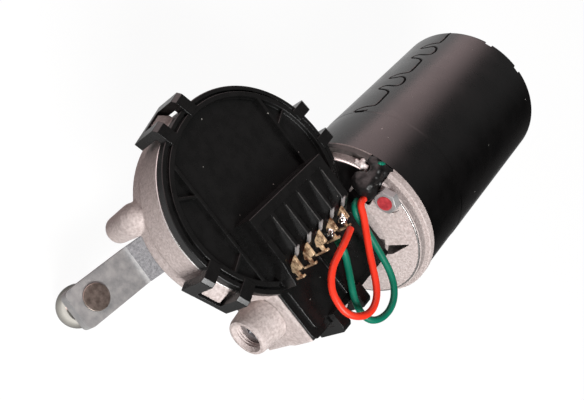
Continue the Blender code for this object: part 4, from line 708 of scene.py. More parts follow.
LINT = (0.45, 0.43, 0.40)
LOOKS = {
    "aluminium": finish("cast aluminium", ((0.40, 0.335, 0.315), (0.60, 0.525, 0.505)), (0.45, 0.60),
                        patches=1100, grain=1900, relief=0.00012, Specular_IOR_Level=0.2),
    # Painted shade: dark aluminium laid on the flange's valley and on the lip's front beside the boot
    "painted_shade": finish("shaded hollow", ((0.030, 0.026, 0.024), (0.095, 0.082, 0.077)), (0.5, 0.65), 0.1,
                    patches=500, relief=0.0001),
    # Painted shade: darker aluminium laid on the flange's neck wall
    "painted_neck_shade": finish("dull cast aluminium", ((0.24, 0.205, 0.195), (0.38, 0.335, 0.32)), (0.5, 0.65), 0.2,
                   patches=1100, grain=1900, relief=0.00012),
    "torn": finish("torn aluminium", ((0.58, 0.51, 0.49), (0.82, 0.75, 0.73)), (0.36, 0.5), 0.2, patches=900,
                   grain=1900, relief=0.0001),
    # Partly painted highlight: lighter, more mirror-like aluminium for the bright edge lines on the cup and
    # flange
    "machined_highlight": finish("machined aluminium", ((0.62, 0.60, 0.585), (0.70, 0.68, 0.665)), (0.28, 0.4), 0.95,
                       patches=500, grain=2600, relief=0.00003),
    "cover": finish("black moulding", ((0.0036, 0.0036, 0.0035), (0.0056, 0.0056, 0.0055)), (0.24, 0.32),
                    patches=260, grain=2600, relief=0.000008, dust=(LINT, 420, 0.05, 0.08),
                    Specular_IOR_Level=0.3),
    # Painted light: grey that stands for the lit upper ends of the fins
    "painted_light_grey": finish("scuffed moulding", ((0.20, 0.19, 0.19), (0.32, 0.305, 0.30)), (0.40, 0.55),
                      patches=900),
    # Painted highlight: lighter grey along the fins' upper edges
    "painted_edge_highlight": finish("rubbed moulding", ((0.025, 0.025, 0.024), (0.075, 0.074, 0.072)), (0.30, 0.45),
                     patches=600),
    "paint": finish("black can paint", ((0.0016, 0.0015, 0.0015), (0.0028, 0.0026, 0.0026)), (0.24, 0.32),
                    patches=90, grain=1500, relief=0.000012, dust=(LINT, 300, 0.05, 0.07)),
    "seam": finish("dark seam", ((0.0010, 0.0010, 0.0010), (0.0022, 0.0020, 0.0020)), (0.7, 0.85),
                   patches=300, Specular_IOR_Level=0.05),
    "rubber": finish("black boot", ((0.003, 0.003, 0.003), (0.006, 0.0055, 0.0055)), (0.36, 0.46),
                     patches=300, grain=700, relief=0.00003, Specular_IOR_Level=0.3),
    "mark": finish("red paint mark", ((0.30, 0.020, 0.028), (0.52, 0.055, 0.065)), (0.30, 0.45), patches=700),
    "gasket": finish("black gasket", ((0.010, 0.010, 0.010), (0.018, 0.018, 0.018)), (0.5, 0.65)),
    "zinc": finish("zinc plate", ((0.27, 0.272, 0.275), (0.40, 0.395, 0.388)), (0.42, 0.55), 0.35,
                   patches=260, grain=1700, relief=0.00004),
    "bent": finish("rough bent zinc", ((0.15, 0.152, 0.160), (0.27, 0.270, 0.278)), (0.45, 0.60), 0.4,
                   patches=1000, grain=1300, relief=0.0002),
    "rivet": finish("rivet steel", ((0.22, 0.18, 0.155), (0.36, 0.305, 0.27)), (0.30, 0.42), 0.9,
                    patches=500, grain=2600, relief=0.00004),
    "steel": finish("ground steel", ((0.40, 0.40, 0.41), (0.52, 0.52, 0.53)), (0.26, 0.36), 1.0),
    "bright": finish("polished steel", ((0.72, 0.69, 0.63), (0.82, 0.79, 0.72)), (0.09, 0.15), 1.0,
                     relief=0.000004),
    # Its wide dark and bright patches stand for shade and light on the blades: painted shade and painted
    # highlight
    "brass": finish("stamped strip", ((0.16, 0.065, 0.03), (1.0, 0.72, 0.45)), (0.20, 0.32), 0.55,
                    patches=260, relief=0.000003, spread=(0.38, 0.58)),
    "solder": finish("solder", ((0.60, 0.59, 0.57), (0.75, 0.74, 0.72)), (0.14, 0.30), 1.0, patches=1500),
    "copper": finish("bare copper", ((0.60, 0.28, 0.16), (0.78, 0.42, 0.26)), (0.28, 0.40), 1.0),
    "winding": finish("enamelled wire", ((0.30, 0.09, 0.03), (0.50, 0.19, 0.08)), (0.22, 0.34), 0.6,
                      patches=900, grain=1200, relief=0.0002),
    "bronze": finish("sintered bronze", ((0.40, 0.26, 0.13), (0.54, 0.38, 0.22)), (0.42, 0.55), 1.0),
    "laminations": finish("stacked sheet", ((0.20, 0.20, 0.21), (0.30, 0.30, 0.31)), (0.40, 0.55), 0.9),
    "ferrite": finish("ferrite", ((0.06, 0.06, 0.065), (0.10, 0.10, 0.105)), (0.6, 0.75), 0.1),
    "carbon": finish("brush carbon", ((0.03, 0.028, 0.027), (0.06, 0.052, 0.046)), (0.55, 0.7), 0.1),
    "nylon": finish("natural nylon", ((0.70, 0.66, 0.55), (0.82, 0.78, 0.68)), (0.38, 0.5)),
    "board": finish("paper laminate", ((0.22, 0.10, 0.045), (0.32, 0.16, 0.07)), (0.45, 0.6)),
    "red": finish("red insulation", ((0.70, 0.030, 0.012), (0.80, 0.040, 0.016)), (0.34, 0.44),
                  patches=120, grain=700, relief=0.00003, Specular_IOR_Level=0.35),
    "green": finish("green insulation", ((0.002, 0.125, 0.074), (0.005, 0.165, 0.102)), (0.38, 0.48),
                    patches=120, grain=700, relief=0.00003, Specular_IOR_Level=0.25),
}


# Wires

def smooth_line(route, spacing):
    """Evenly spaced points on a smooth curve through a route's points."""
    stops = [Vector(point) for point in route]
    ends = [2 * stops[0] - stops[1]] + stops + [2 * stops[-1] - stops[-2]]
    fine = [stops[0]]
    for before, start, end, after in zip(ends, ends[1:], ends[2:], ends[3:]):
        for step in range(1, CURVE_STEPS + 1):
            t = step / CURVE_STEPS
            bend = (2 * before - 5 * start + 4 * end - after) * t ** 2
            twist = (3 * start - before - 3 * end + after) * t ** 3
            fine.append(0.5 * (2 * start + (end - before) * t + bend + twist))
    lengths = [0.0]
    for start, end in zip(fine, fine[1:]):
        lengths.append(lengths[-1] + (end - start).length)
    count = max(2, round(lengths[-1] / spacing))
    points, index = [], 0
    for step in range(count + 1):
        target = lengths[-1] * step / count
        while index < len(fine) - 2 and lengths[index + 1] < target:
            index += 1
        span = lengths[index + 1] - lengths[index]
        points.append(fine[index].lerp(fine[index + 1], (target - lengths[index]) / span))
    return points, lengths[-1]


def lead(name, route, look, node):
    """Jumper wire along its route, from one end in the object to the other."""
    points, length = smooth_line(route, WIRE_SPACING)
    line = bpy.data.curves.new(name, "CURVE")
    line.dimensions = "3D"
    line.bevel_depth = WIRE_DIAMETER / 2
    line.bevel_resolution = 5
    line.use_fill_caps = True
    line.materials.append(look)
    spline = line.splines.new("POLY")
    spline.points.add(len(points) - 1)
    for point, place in zip(spline.points, points):
        point.co = (*place, 1)
    spline.use_smooth = True
    item = bpy.data.objects.new(name, line)
    bpy.context.scene.collection.objects.link(item)
    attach(item, "gearbox")
    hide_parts(node)
    return item


# Motor can

def seam_line():
    """The seam's centre line, as (distance along the motor, distance round the can)."""
    route = [(CAN_REAR, SEAM_TONGUE[0][1])]
    for turn in range(SEAM_TONGUES):
        for along, round_can in SEAM_TONGUE:
            route.append((SEAM_FIRST - turn * SEAM_PITCH - along, round_can))
    route = [p for p in route if p[0] > SLEEVE_FRONT + 0.0004]
    return smooth_line([(a, r, 0) for a, r in route], SEAM_SPACING)[0]


def can():
    """Rolled steel can: a sleeve with an interlocking seam behind a plain front."""
    inner = CAN_RADIUS - CAN_WALL
    front = CAN_RADIUS - SLEEVE_STEP
    sleeve_rear = CAN_REAR - CAN_REAR_EDGE
    profile = [(inner, CAN_FRONT), (front, CAN_FRONT, CAN_EDGE), (front, SLEEVE_FRONT, CAN_EDGE),
               (CAN_RADIUS, SLEEVE_FRONT + SLEEVE_RAMP, CAN_EDGE)]
    for step in range(2, SLEEVE_RINGS):
        profile.append((CAN_RADIUS, SLEEVE_FRONT + step * (sleeve_rear - SLEEVE_FRONT) / SLEEVE_RINGS))
    profile += [(CAN_RADIUS, CAN_REAR, CAN_REAR_EDGE), (inner, CAN_REAR, CAN_EDGE)]
    shape = turned(profile, spoke(0), 128, closed=True)
    axis = Vector((MOTOR_X, 0, MOTOR_Z))

    def unrolled(place):
        angle = math.degrees(math.atan2(place.z - axis.z, place.x - axis.x))
        return place.y, math.radians(angle - SEAM_ANGLE) * CAN_RADIUS

    def near_seam(face):
        middle = face.calc_center_median()
        along, round_can = unrolled(middle)
        outside = (middle - axis - Vector((0, along, 0))).length > CAN_RADIUS - 0.0002
        return outside and along > SLEEVE_FRONT + 0.0005 and PATCH_LOW < round_can < PATCH_HIGH

    patch = [face for face in shape.faces if near_seam(face)]
    edges = list({edge for face in patch for edge in face.edges})
    bmesh.ops.subdivide_edges(shape, edges=edges, cuts=7, use_grid_fill=True)
    line = [Vector((p.x, p.y)) for p in seam_line()]
    for vert in shape.verts:
        along, round_can = unrolled(vert.co)
        out = Vector((vert.co.x - axis.x, 0, vert.co.z - axis.z))
        on_sleeve = SLEEVE_FRONT + 0.0003 <= along < sleeve_rear and out.length >= CAN_RADIUS - 0.0003
        if not on_sleeve or not PATCH_LOW - PATCH_MARGIN < round_can < PATCH_HIGH + PATCH_MARGIN:
            continue
        here = Vector((along, round_can))
        gap = min(((here - p).length for p in line if abs(p.x - along) < SEAM_WIDTH), default=SEAM_WIDTH)
        depth = SEAM_DEPTH * max(0.0, 1 - (gap / SEAM_WIDTH) ** 2)
        vert.co += out.normalized() * (CAN_RADIUS - depth - out.length)
    item = as_object("can", shape)
    notches = []
    for angle in NOTCH_ANGLES:
        notches.append(brick((CAN_RADIUS - 0.003, -NOTCH_HALF, CAN_REAR - NOTCH_DEPTH),
                             (CAN_RADIUS + 0.001, NOTCH_HALF, CAN_REAR + 0.001), CAN_EDGE, spoke(angle)))
    combined(item, "DIFFERENCE", notches)
    return dressed(item, "painted_can", LOOKS["paint"], "gearbox", ("motor_can",),
                   smooth=40, flat=False)


def can_seam():
    """Dark strip in the groove of the can's seam."""
    shape = bmesh.new()
    line = seam_line()
    low, high = CAN_RADIUS - STRIP_DEPTH, CAN_RADIUS - STRIP_SUNK
    rows = []
    for before, point, after in zip(line[:1] + line, line, line[1:] + line[-1:]):
        ahead = (after - before).normalized() * SEAM_STRIP / 2
        row = []
        for side, radius in ((-1, low), (1, low), (1, high), (-1, high)):
            round_can = point.y + side * ahead.x
            place = Vector((radius, 0, point.x - side * ahead.y))
            row.append(shape.verts.new(spoke(SEAM_ANGLE + math.degrees(round_can / CAN_RADIUS)) @ place))
        rows.append(row)
    for before, after in zip(rows, rows[1:]):
        for corner in range(4):
            follow = (corner + 1) % 4
            shape.faces.new((before[corner], before[follow], after[follow], after[corner]))
    shape.faces.new(rows[0])
    shape.faces.new(rows[-1])
    bmesh.ops.recalc_face_normals(shape, faces=shape.faces)
    item = as_object("seam", shape)
    return dressed(item, "can_seam", LOOKS["seam"], "gearbox", ("motor_can",), flat=False)


def rear_cap():
    """Pressed end of the motor, with its bearing dome and stiffening beads."""
    inner = CAN_RADIUS - CAN_WALL - 0.0003
    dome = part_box("end_cap")[1].y
    rear = dome - DOME_HEIGHT
    recess = rear - BEAD_RECESS
    plate = rear - CAP_PLATE
    hub = rear - CAP_HUB_LENGTH
    profile = [(0, dome), (0.0055, dome, 0.001), (0.0065, rear, 0.0008),
               (0.0105, rear, 0.0005), (0.0112, recess, 0.0005), (0.0235, recess, 0.0005),
               (0.0243, rear, 0.0005), (inner - 0.0012, rear, 0.0006), (inner, rear - 0.0006, 0.0004),
               (inner, plate), (CAP_HUB_RADIUS, plate), (CAP_HUB_RADIUS, hub), (0, hub)]
    item = as_object("cap", turned(profile, spoke(0)))
    beads = []
    for step in range(BEAD_COUNT):
        beads.append(brick((0.0125, -BEAD_HALF, rear - 0.0012), (0.0222, BEAD_HALF, rear - 0.0002), 0.0004,
                           spoke(BOLT_ANGLE + 30 + 60 * step)))
    combined(item, "UNION", beads)
    combined(item, "DIFFERENCE", [rod(BOLT_RADIUS + 0.0002, rear - 0.004, rear + 0.003, bolt_place(angle), 24)
                                  for angle in BOLT_ANGLES])
    return dressed(item, "rear_cap", LOOKS["paint"], "gearbox", ("end_cap",))


def hexagon(flats, corner):
    """Outline of a bolt's head, with rounded corners."""
    radius = flats / math.sqrt(3)
    return [(x, y, corner) for x, y in arc((0, 0), radius, 0, 300, 5)]


def through_bolt(number):
    """Hexagon head with rounded corners and a red paint mark, on its long shank."""
    node = "through_bolt_%d" % number
    place = bolt_place(BOLT_ANGLES[number - 1])
    front = BOLT_SEAT - BOLT_HEIGHT
    face = front - 0.0001
    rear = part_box(node)[1].y
    item = as_object("bolt", slab(hexagon(BOLT_FLATS, 0.0004), front, BOLT_SEAT, 0.0003, place))
    crown = [(0, face), (0.0036, face), (0.0056, front + 0.0012), (0.0056, BOLT_SEAT + 0.001),
             (0, BOLT_SEAT + 0.001)]
    combined(item, "INTERSECT", [turned(crown, place, 48)])
    shank = [(0, BOLT_SEAT - 0.001), (BOLT_RADIUS, BOLT_SEAT - 0.001), (BOLT_RADIUS, rear - 0.0004),
             (BOLT_RADIUS - 0.0004, rear), (0, rear)]
    combined(item, "UNION", [turned(shank, place, 32)])
    dressed(item, "hex_bolt_%d" % number, LOOKS["zinc"], "gearbox", (node,))
    mark = slab(arc((0, 0), MARK_RADIUS, 0, 350, 35), face - 0.00004, face + 0.0003, 0,
                place @ Matrix.Diagonal((1, MARK_NARROWING, 1, 1)))
    return dressed(as_object("mark", mark), "bolt_mark_%d" % number, LOOKS["mark"], "gearbox")


# Gearbox casting

def clip_places():
    """Places of the three clips round the cover and of the one on the side plate."""
    return [turn_z(angle) for angle in CLIP_ANGLES] + [Matrix.Translation(SIDE_CLIP_SHIFT)]


def boss_place(angle):
    """Place of a mounting boss round the output axis."""
    turn = math.radians(angle)
    return Matrix.Translation((BOSS_CIRCLE * math.cos(turn), BOSS_CIRCLE * math.sin(turn), 0))


def casting_solids():
    """Worm box, output boss, mounting bosses with their ribs, and lugs for the cover's clips."""
    side_low = MOTOR_Z + BOX_SIDE_X - MOTOR_X - BOX_BOTTOM_RADIUS
    outline = [(BOX_INNER_X, RIM_Z), (BOX_SIDE_X, RIM_Z), (BOX_SIDE_X, side_low)]
    outline += arc((MOTOR_X, MOTOR_Z), BOX_BOTTOM_RADIUS, 0, -180, 24)
    shapes = [slab(outline, BOX_FRONT, FLANGE_FRONT + 0.001, 0, SIDEWAYS),
              brick((BOX_INNER_X + 0.0012, BOX_FRONT - 0.0004, MOTOR_Z - BOX_BOTTOM_RADIUS),
                    (BOX_SIDE_X - 0.0008, BOX_FRONT + 0.0032, RIM_Z - 0.0005))]
    root = CUP_BOTTOM + 0.001
    shapes.append(turned([(0, 0), (OUTPUT_BOSS_RADIUS, 0, 0.0008), (OUTPUT_BOSS_RADIUS + 0.0006, root),
                          (0, root)], steps=64))
    for angle in BOSS_ANGLES:
        top = CUP_BOTTOM + 0.007 if angle else 0.0165
        boss = [(0, BOSS_END), (0.0047, BOSS_END, 0.0008), (0.0056, top - 0.007, 0.003),
                (0.0045, top - 0.003, 0.003), (0.0012, top, 0.001), (0, top)]
        shapes.append(turned(boss, boss_place(angle), 48))
        shapes.append(brick((OUTPUT_BOSS_RADIUS - 0.001, -0.0015, CUP_BOTTOM - 0.009),
                            (BOSS_CIRCLE - 0.0023, 0.0015, root), 0, turn_z(angle)))
    half = CLIP_HALF - CLIP_POST - CLIP_PLAY
    low = CLIP_LOW + CLIP_BAR + CLIP_PLAY
    lug = [(CUP_RADIUS - 0.002, low), (CLIP_OUTER - 0.0004, low), (CLIP_INNER, low + LUG_HEIGHT),
           (CUP_RADIUS - 0.002, low + LUG_HEIGHT)]
    for place in clip_places():
        shapes.append(slab(lug, -half, half, 0, place @ SIDEWAYS))
    return shapes


def casting_hollows():
    """Gear chamber, worm trough, bores and screw holes, and the room for the cover."""
    above = RIM_Z + 0.002
    wall = BOX_SIDE_X - BOX_WALL
    trough = [(MOTOR_X - TROUGH_RADIUS, above), (wall, above), (wall, MOTOR_Z + 0.004),
              (MOTOR_X + TROUGH_RADIUS, MOTOR_Z + 0.002)]
    trough += arc((MOTOR_X, MOTOR_Z), TROUGH_RADIUS, 0, -180, 18)
    shapes = [rod(CUP_INNER, CHAMBER_FLOOR, above), slab(trough, TROUGH_FRONT, TROUGH_REAR, 0, SIDEWAYS)]
    for radius, start, end in MOTOR_BORES:
        shapes.append(rod(radius, start, end, spoke(0), 48))
    shapes.append(rod(COVER_RADIUS + 0.0005, RIM_Z + 0.0001, RIM_Z + 0.012))
    shapes.append(rod(SHAFT_BORE, -0.002, 0.025, steps=64))
    hole = [(0, BOSS_END - 0.002), (BOSS_HOLE, BOSS_END - 0.002), (BOSS_HOLE, BOSS_END + 0.0095),
            (0, BOSS_END + 0.011)]
    for angle in BOSS_ANGLES:
        shapes.append(turned(hole, boss_place(angle), 32))
    return shapes


def casting():
    """Cup, worm box, bosses, ribs and lugs, run together as one casting."""
    lower = CUP_RADIUS - 0.0005
    item = as_object("casting", turned(
        [(0, CUP_BOTTOM), (lower, CUP_BOTTOM, 0.0016), (lower, PARTING_Z, 0.0001),
         (CUP_RADIUS, PARTING_Z + 0.0003), (CUP_RADIUS, RIM_Z), (0, RIM_Z)]))
    combined(item, "UNION", casting_solids())
    combined(item, "DIFFERENCE", casting_hollows())
    cast(item, CAST_VOXEL, smoothing=2, keep=0.5)
    return dressed(item, "gearbox_casting", LOOKS["aluminium"], "gearbox",
                   ("gear_housing",), smooth=80, flat=False)


def rim_edge():
    """Machined edge of the cup, next to the gasket, lighter than the casting: partly painted highlight."""
    inner, outer = CUP_RADIUS - 0.0012, CUP_RADIUS + 0.00005
    low, high = RIM_Z - 0.0004, RIM_Z + 0.0001
    profile = [(inner, low), (outer, low, 0.0001), (outer, high, 0.0003), (inner, high)]
    item = as_object("edge", turned(profile, steps=160, closed=True))
    combined(item, "DIFFERENCE", [brick((BOX_INNER_X, -0.03, RIM_Z - 0.002), (0.04, 0.03, RIM_Z + 0.002))])
    return dressed(item, "cup_edge", LOOKS["machined_highlight"], "gearbox", ("gear_housing",))


def flange_openings():
    """Bolt holes with their pockets, and the slot for the wires."""
    pocket = [(0, POCKET_FRONT), (POCKET_RADIUS, POCKET_FRONT), (POCKET_RADIUS, BOLT_SEAT, 0.0004),
              (0, BOLT_SEAT)]
    shapes = []
    for angle in BOLT_ANGLES:
        shapes.append(rod(BOLT_HOLE, 0.02, 0.045, bolt_place(angle), 32))
        shapes.append(turned(pocket, bolt_place(angle), 48))
    shapes.append(brick(*WIRE_SLOT, 0.0006, spoke(BOOT_ANGLE)))
    return shapes


def flange_ridge():
    """Raised machined edge round the flange's front, lighter than the casting: partly painted highlight."""
    radius = NECK_RADIUS - 0.0007
    item = as_object("ridge", turned(
        [(radius - 0.0004, FLANGE_FRONT + 0.0003), (radius - 0.0002, FLANGE_FRONT - 0.0002, 0.0002),
         (radius + 0.0002, FLANGE_FRONT - 0.0001, 0.0002), (radius + 0.0004, FLANGE_FRONT + 0.0006)],
        spoke(0), 160, closed=True))
    combined(item, "DIFFERENCE", flange_openings())
    return dressed(item, "flange_ridge", LOOKS["machined_highlight"], "gearbox", ("gear_housing",))


def flange():
    """Conical front, neck and lip of the casting, with pockets for the bolts and a slot for the wires."""
    item = as_object("flange", turned(
        [(FLANGE_BORE, FLANGE_FACE), (FACE_RADIUS, FLANGE_FACE, 0.001),
         (NECK_RADIUS - NECK_BEVEL, FLANGE_FRONT, 0.0003), (NECK_RADIUS, FLANGE_FRONT + 0.0006, 0.0003),
         (NECK_RADIUS, LIP_FRONT, 0.0003), (FLANGE_RADIUS, LIP_FRONT, 0.0005), (FLANGE_RADIUS, LIP_EDGE),
         (FLANGE_RADIUS, FLANGE_REAR, 0.0002), (SPIGOT_OUTER, FLANGE_REAR), (SPIGOT_OUTER, SPIGOT_REAR),
         (SPIGOT_INNER, SPIGOT_REAR), (SPIGOT_INNER, FLANGE_REAR), (RECESS_RADIUS, FLANGE_REAR),
         (RECESS_RADIUS, RECESS_FLOOR), (FLANGE_BORE, RECESS_FLOOR)], spoke(0), 160, closed=True))
    valley = bmesh.new()
    for radius, angle, along in VALLEY:
        valley.verts.new(spoke(angle) @ Vector((radius, 0, along)))
    bmesh.ops.convex_hull(valley, input=valley.verts)
    combined(item, "DIFFERENCE", flange_openings() + [closed_up(valley)])
    dressed(item, "motor_flange", LOOKS["aluminium"], "gearbox", ("gear_housing",))
    for look in ("painted_shade", "painted_neck_shade", "rubber"):
        item.data.materials.append(LOOKS[look])
    painted_shade, painted_neck_shade, rubber = 1, 2, 3
    slant = (FLANGE_FRONT - FLANGE_FACE) / (NECK_RADIUS - NECK_BEVEL - FACE_RADIUS)
    for face in item.data.polygons:
        middle = spoke(0).inverted() @ face.center
        angle = -math.degrees(math.atan2(middle.y, middle.x))
        radius = math.hypot(middle.x, middle.y)
        cone = FLANGE_FACE + (radius - FACE_RADIUS) * slant
        in_valley = VALLEY_START < angle < VALLEY_END and VALLEY_INNER < radius < VALLEY_OUTER
        # painted shade on the faces of the valley
        if in_valley and cone + 0.0001 < middle.z < VALLEY_REAR:
            face.material_index = painted_shade
        elif BOOT_ANGLE < angle < PAINTED_SHADE_END:
            # the cone from the boot round to the left is made black like the boot: darker there
            if radius < NECK_RADIUS - 0.0006 and middle.z < FLANGE_FRONT + 0.0004:
                face.material_index = rubber
            # painted shade on the lip's front from the boot round to the left
            elif radius > NECK_RADIUS + 0.0001 and LIP_FRONT - 0.0001 < middle.z < LIP_EDGE:
                face.material_index = painted_shade
        # painted shade on the neck wall
        elif abs(radius - NECK_RADIUS) < 0.0002 and middle.z < LIP_FRONT:
            face.material_index = painted_neck_shade
    return item


def thrust_boss():
    """Threaded boss on the end of the worm box."""
    front, rear = THRUST_BOSS_FRONT, THRUST_BOSS_REAR
    profile = [(THRUST_HOLE + 0.0010, front)]
    for turn in range(int((rear - front - 0.002) / THREAD_PITCH)):
        start = front + 0.0012 + turn * THREAD_PITCH
        profile += [(THRUST_HOLE, start), (THRUST_HOLE + THREAD_DEPTH, start + THREAD_PITCH / 2)]
    profile += [(THRUST_HOLE, rear), (0.0084, rear), (0.0072, front + 0.0012, 0.0008),
                (0.0067, front, 0.0003)]
    item = as_object("boss", turned(profile, spoke(0), 64, closed=True))
    combined(item, "DIFFERENCE", [rod(CUP_RADIUS, CUP_BOTTOM - 0.002, RIM_Z)])
    return dressed(item, "thrust_boss", LOOKS["aluminium"], "gearbox", ("worm_end_boss",))


# Cover

def clip(place):
    """Two posts over the rim with a bar between them, below the gearbox's lug."""
    root, bend = RING_INNER + 0.0004, COVER_RADIUS - 0.001
    arm = [(root, CLIP_SEAT), (bend, CLIP_SEAT), (bend, CLIP_STEP), (CLIP_INNER, CLIP_STEP),
           (CLIP_INNER, CLIP_LOW), (CLIP_OUTER, CLIP_LOW), (CLIP_OUTER, CLIP_TOP - 0.0012, 0.0005),
           (CLIP_OUTER - 0.0014, CLIP_TOP, 0.0005), (root, CLIP_TOP)]
    shapes = []
    for side in (-1, 1):
        low, high = sorted((side * CLIP_HALF, side * (CLIP_HALF - CLIP_POST)))
        shapes.append(slab(arm, low, high, 0.0001, place @ SIDEWAYS))
    shapes.append(brick((CLIP_INNER, -CLIP_HALF + 0.001, CLIP_LOW),
                        (CLIP_OUTER, CLIP_HALF - 0.001, CLIP_LOW + CLIP_BAR), 0.0002, place))
    return shapes


def side_plate():
    """Stepped plate over the worm box, with a low bar across it."""
    near, far = BOX_FRONT - 0.0002, BOX_SIDE_X + 0.0002
    end = PLATE_END_Y - 0.0002
    lower = [(PLATE_INNER_X, near), (far, near, 0.0030), (far, PLATE_END_Y, 0.0010),
             (PLATE_INNER_X, PLATE_END_Y)]
    upper = [(PLATE_INNER_X, near + PLATE_STEP), (far - PLATE_STEP, near + PLATE_STEP, 0.0022),
             (far - PLATE_STEP, end, 0.0010), (PLATE_INNER_X, end)]
    return [slab(lower, COVER_LOW, PLATE_TOP - 0.0009, 0.0004),
            slab(upper, COVER_LOW + 0.0002, PLATE_TOP, 0.0004),
            brick((BLOCK_FRONT + 0.0016, 0.0023, PLATE_TOP - 0.0004),
                  (far - PLATE_STEP - 0.0003, 0.0036, PLATE_TOP + 0.0007), 0.0003)]


def cover_ribs():
    """Two chord ribs across the cover, and three short ribs from them to the ring wall."""
    low = COVER_LOW + 0.0002
    top = RING_TOP - 0.0001
    end = math.sqrt(RING_OUTER ** 2 - CHORD_RIB_Y ** 2) - RIB_INSET
    shapes = [brick((-end, -CHORD_RIB_Y - CHORD_RIB_HALF, low),
                    (end, -CHORD_RIB_Y + CHORD_RIB_HALF, top), 0.0002),
              brick((-end, CHORD_RIB_Y - CHORD_RIB_HALF, low),
                    (BLOCK_BACK + 0.002, CHORD_RIB_Y + CHORD_RIB_HALF, top))]
    for angle in SHORT_RIB_ANGLES:
        inner = CHORD_RIB_Y / abs(math.sin(math.radians(angle)))
        outer = RING_OUTER - RIB_INSET
        shapes.append(brick((inner, -SHORT_RIB_HALF, low), (outer, SHORT_RIB_HALF, RING_TOP - 0.0002), 0.0002,
                            turn_z(angle)))
    return shapes


def terminal_block():
    """Block with a sloped front, and the wall that closes its left end."""
    low = COVER_LOW + 0.0003
    block = [(BLOCK_BACK, low), (BLOCK_FRONT, low), (BLOCK_FRONT, BLOCK_TOE, 0.0002), (SLOPE_LOW, BLOCK_TOE),
             (SLOPE_TOP, BLOCK_TOP, 0.0003), (BLOCK_BACK, BLOCK_TOP, 0.0003)]
    back, front = BLOCK_BACK + 0.001, BLOCK_FRONT + 0.0009
    wall = [(back, low), (front, low), (front, BLOCK_TOP - 0.0017, 0.0003), (SLOPE_TOP, BLOCK_TOP, 0.0003),
            (back, BLOCK_TOP - 0.001)]
    return [slab(block, BLOCK_LEFT, BLOCK_RIGHT, 0.0002, SIDEWAYS),
            slab(wall, BLOCK_LEFT + 0.00005, BLOCK_LEFT + 0.0015, 0.00015, SIDEWAYS)]


def cover():
    """Round moulding with its ring wall, ribs, terminal block, side plate and clips."""
    item = as_object("cover", turned(
        [(0, COVER_FACE), (RING_INNER, COVER_FACE, COVER_FILLET), (RING_INNER, RING_TOP, COVER_FILLET),
         (RING_OUTER, RING_TOP, COVER_FILLET), (RING_OUTER, GROOVE_FLOOR, 0.0001),
         (RIM_INNER, GROOVE_FLOOR, 0.0001), (RIM_INNER, RIM_TOP, COVER_FILLET),
         (COVER_RADIUS, RIM_TOP, 0.0005), (COVER_RADIUS, COVER_LOW, COVER_FILLET),
         (LOCATOR_OUTER, COVER_LOW), (LOCATOR_OUTER, LOCATOR_LOW), (LOCATOR_INNER, LOCATOR_LOW),
         (LOCATOR_INNER, COVER_LOW), (0, COVER_LOW)], steps=128))
    combined(item, "DIFFERENCE", [brick((0.0266, BOX_FRONT, PLATE_TOP), (0.0362, PLATE_END_Y, 0.046))])
    parts = side_plate() + cover_ribs() + terminal_block()
    for place in clip_places():
        parts += clip(place)
    combined(item, "UNION", parts)
    channel = [(BLOCK_BACK + 0.0025, BLOCK_TOP + 0.001), (BLOCK_BACK + 0.0035, BLOCK_TOP - 0.0002),
               (SLOPE_TOP - 0.0005, BLOCK_TOP - 0.0017), (SLOPE_LOW + 0.0003, BLOCK_TOE + 0.0003),
               (SLOPE_LOW + 0.003, BLOCK_TOE + 0.0003), (SLOPE_LOW + 0.003, BLOCK_TOP + 0.001)]
    combined(item, "DIFFERENCE", [slab(channel, y - CHANNEL_HALF, y + CHANNEL_HALF, 0, SIDEWAYS)
                                  for y in TERMINAL_YS])
    return dressed(item, "cover_moulding", LOOKS["cover"], "gearbox", ("gear_cover",))


def fin_fronts():
    """Light grey plates on the upper ends of the fins between the terminals: painted light on the lit ends.
    """
    slope = math.atan2(BLOCK_TOP - BLOCK_TOE, SLOPE_LOW - SLOPE_TOP)
    half = FIN_HALF + 0.00003
    plates = []
    for y in TERMINAL_YS:
        place = Matrix.Translation((SLOPE_TOP, y + TERMINAL_PITCH / 2, BLOCK_TOP))
        plates.append(brick((-0.0002, -half, -0.0006), (0.0042, half, 0.00005), 0,
                            place @ Matrix.Rotation(slope, 4, "Y")))
    item = as_object("fins", joined(plates))
    return dressed(item, "fin_fronts", LOOKS["painted_light_grey"], "gearbox")


def fin_edges():
    """Lighter strips along the fins' upper edges: painted highlight."""
    strips = []
    for y in TERMINAL_YS:
        side = y + TERMINAL_PITCH / 2 - FIN_HALF
        strips.append(brick((BLOCK_BACK + 0.0045, side - 0.00004, BLOCK_TOP - 0.0002),
                            (SLOPE_TOP - 0.0001, side + 0.00022, BLOCK_TOP + 0.00004)))
    item = as_object("edges", joined(strips))
    return dressed(item, "fin_edges", LOOKS["painted_edge_highlight"], "gearbox")


# Terminals and boot

def terminal(number):
    """Stamped blade with a neck and an upright prong."""
    y = TERMINAL_YS[number - 1]
    # the blade's finish carries painted shade and painted highlight in patches
    shape = slab(TERMINAL_OUTLINE, y - TERMINAL_HALF, y + TERMINAL_HALF, 0.0001, SIDEWAYS, 3)
    item = as_object("terminal", shape)
    return dressed(item, "blade_%d" % number, LOOKS["brass"], "gearbox", ("terminal_%d" % number,))


def lumps(name, spots, voxel, roughness, smoothing):
    """Balls run together into one lump, with an uneven skin."""

    def ball(spot):
        shape = bmesh.new()
        bmesh.ops.create_icosphere(shape, subdivisions=3, radius=spot[3], matrix=Matrix.Translation(spot[:3]))
        for vert in shape.verts:
            vert.co += (vert.co - Vector(spot[:3])) * roughness * noise.noise(vert.co * LUMP_SCALE)
        return shape

    first, *others = spots
    item = as_object(name, ball(first))
    combined(item, "UNION", [ball(spot) for spot in others])
    return cast(item, voxel, smoothing, keep=1)


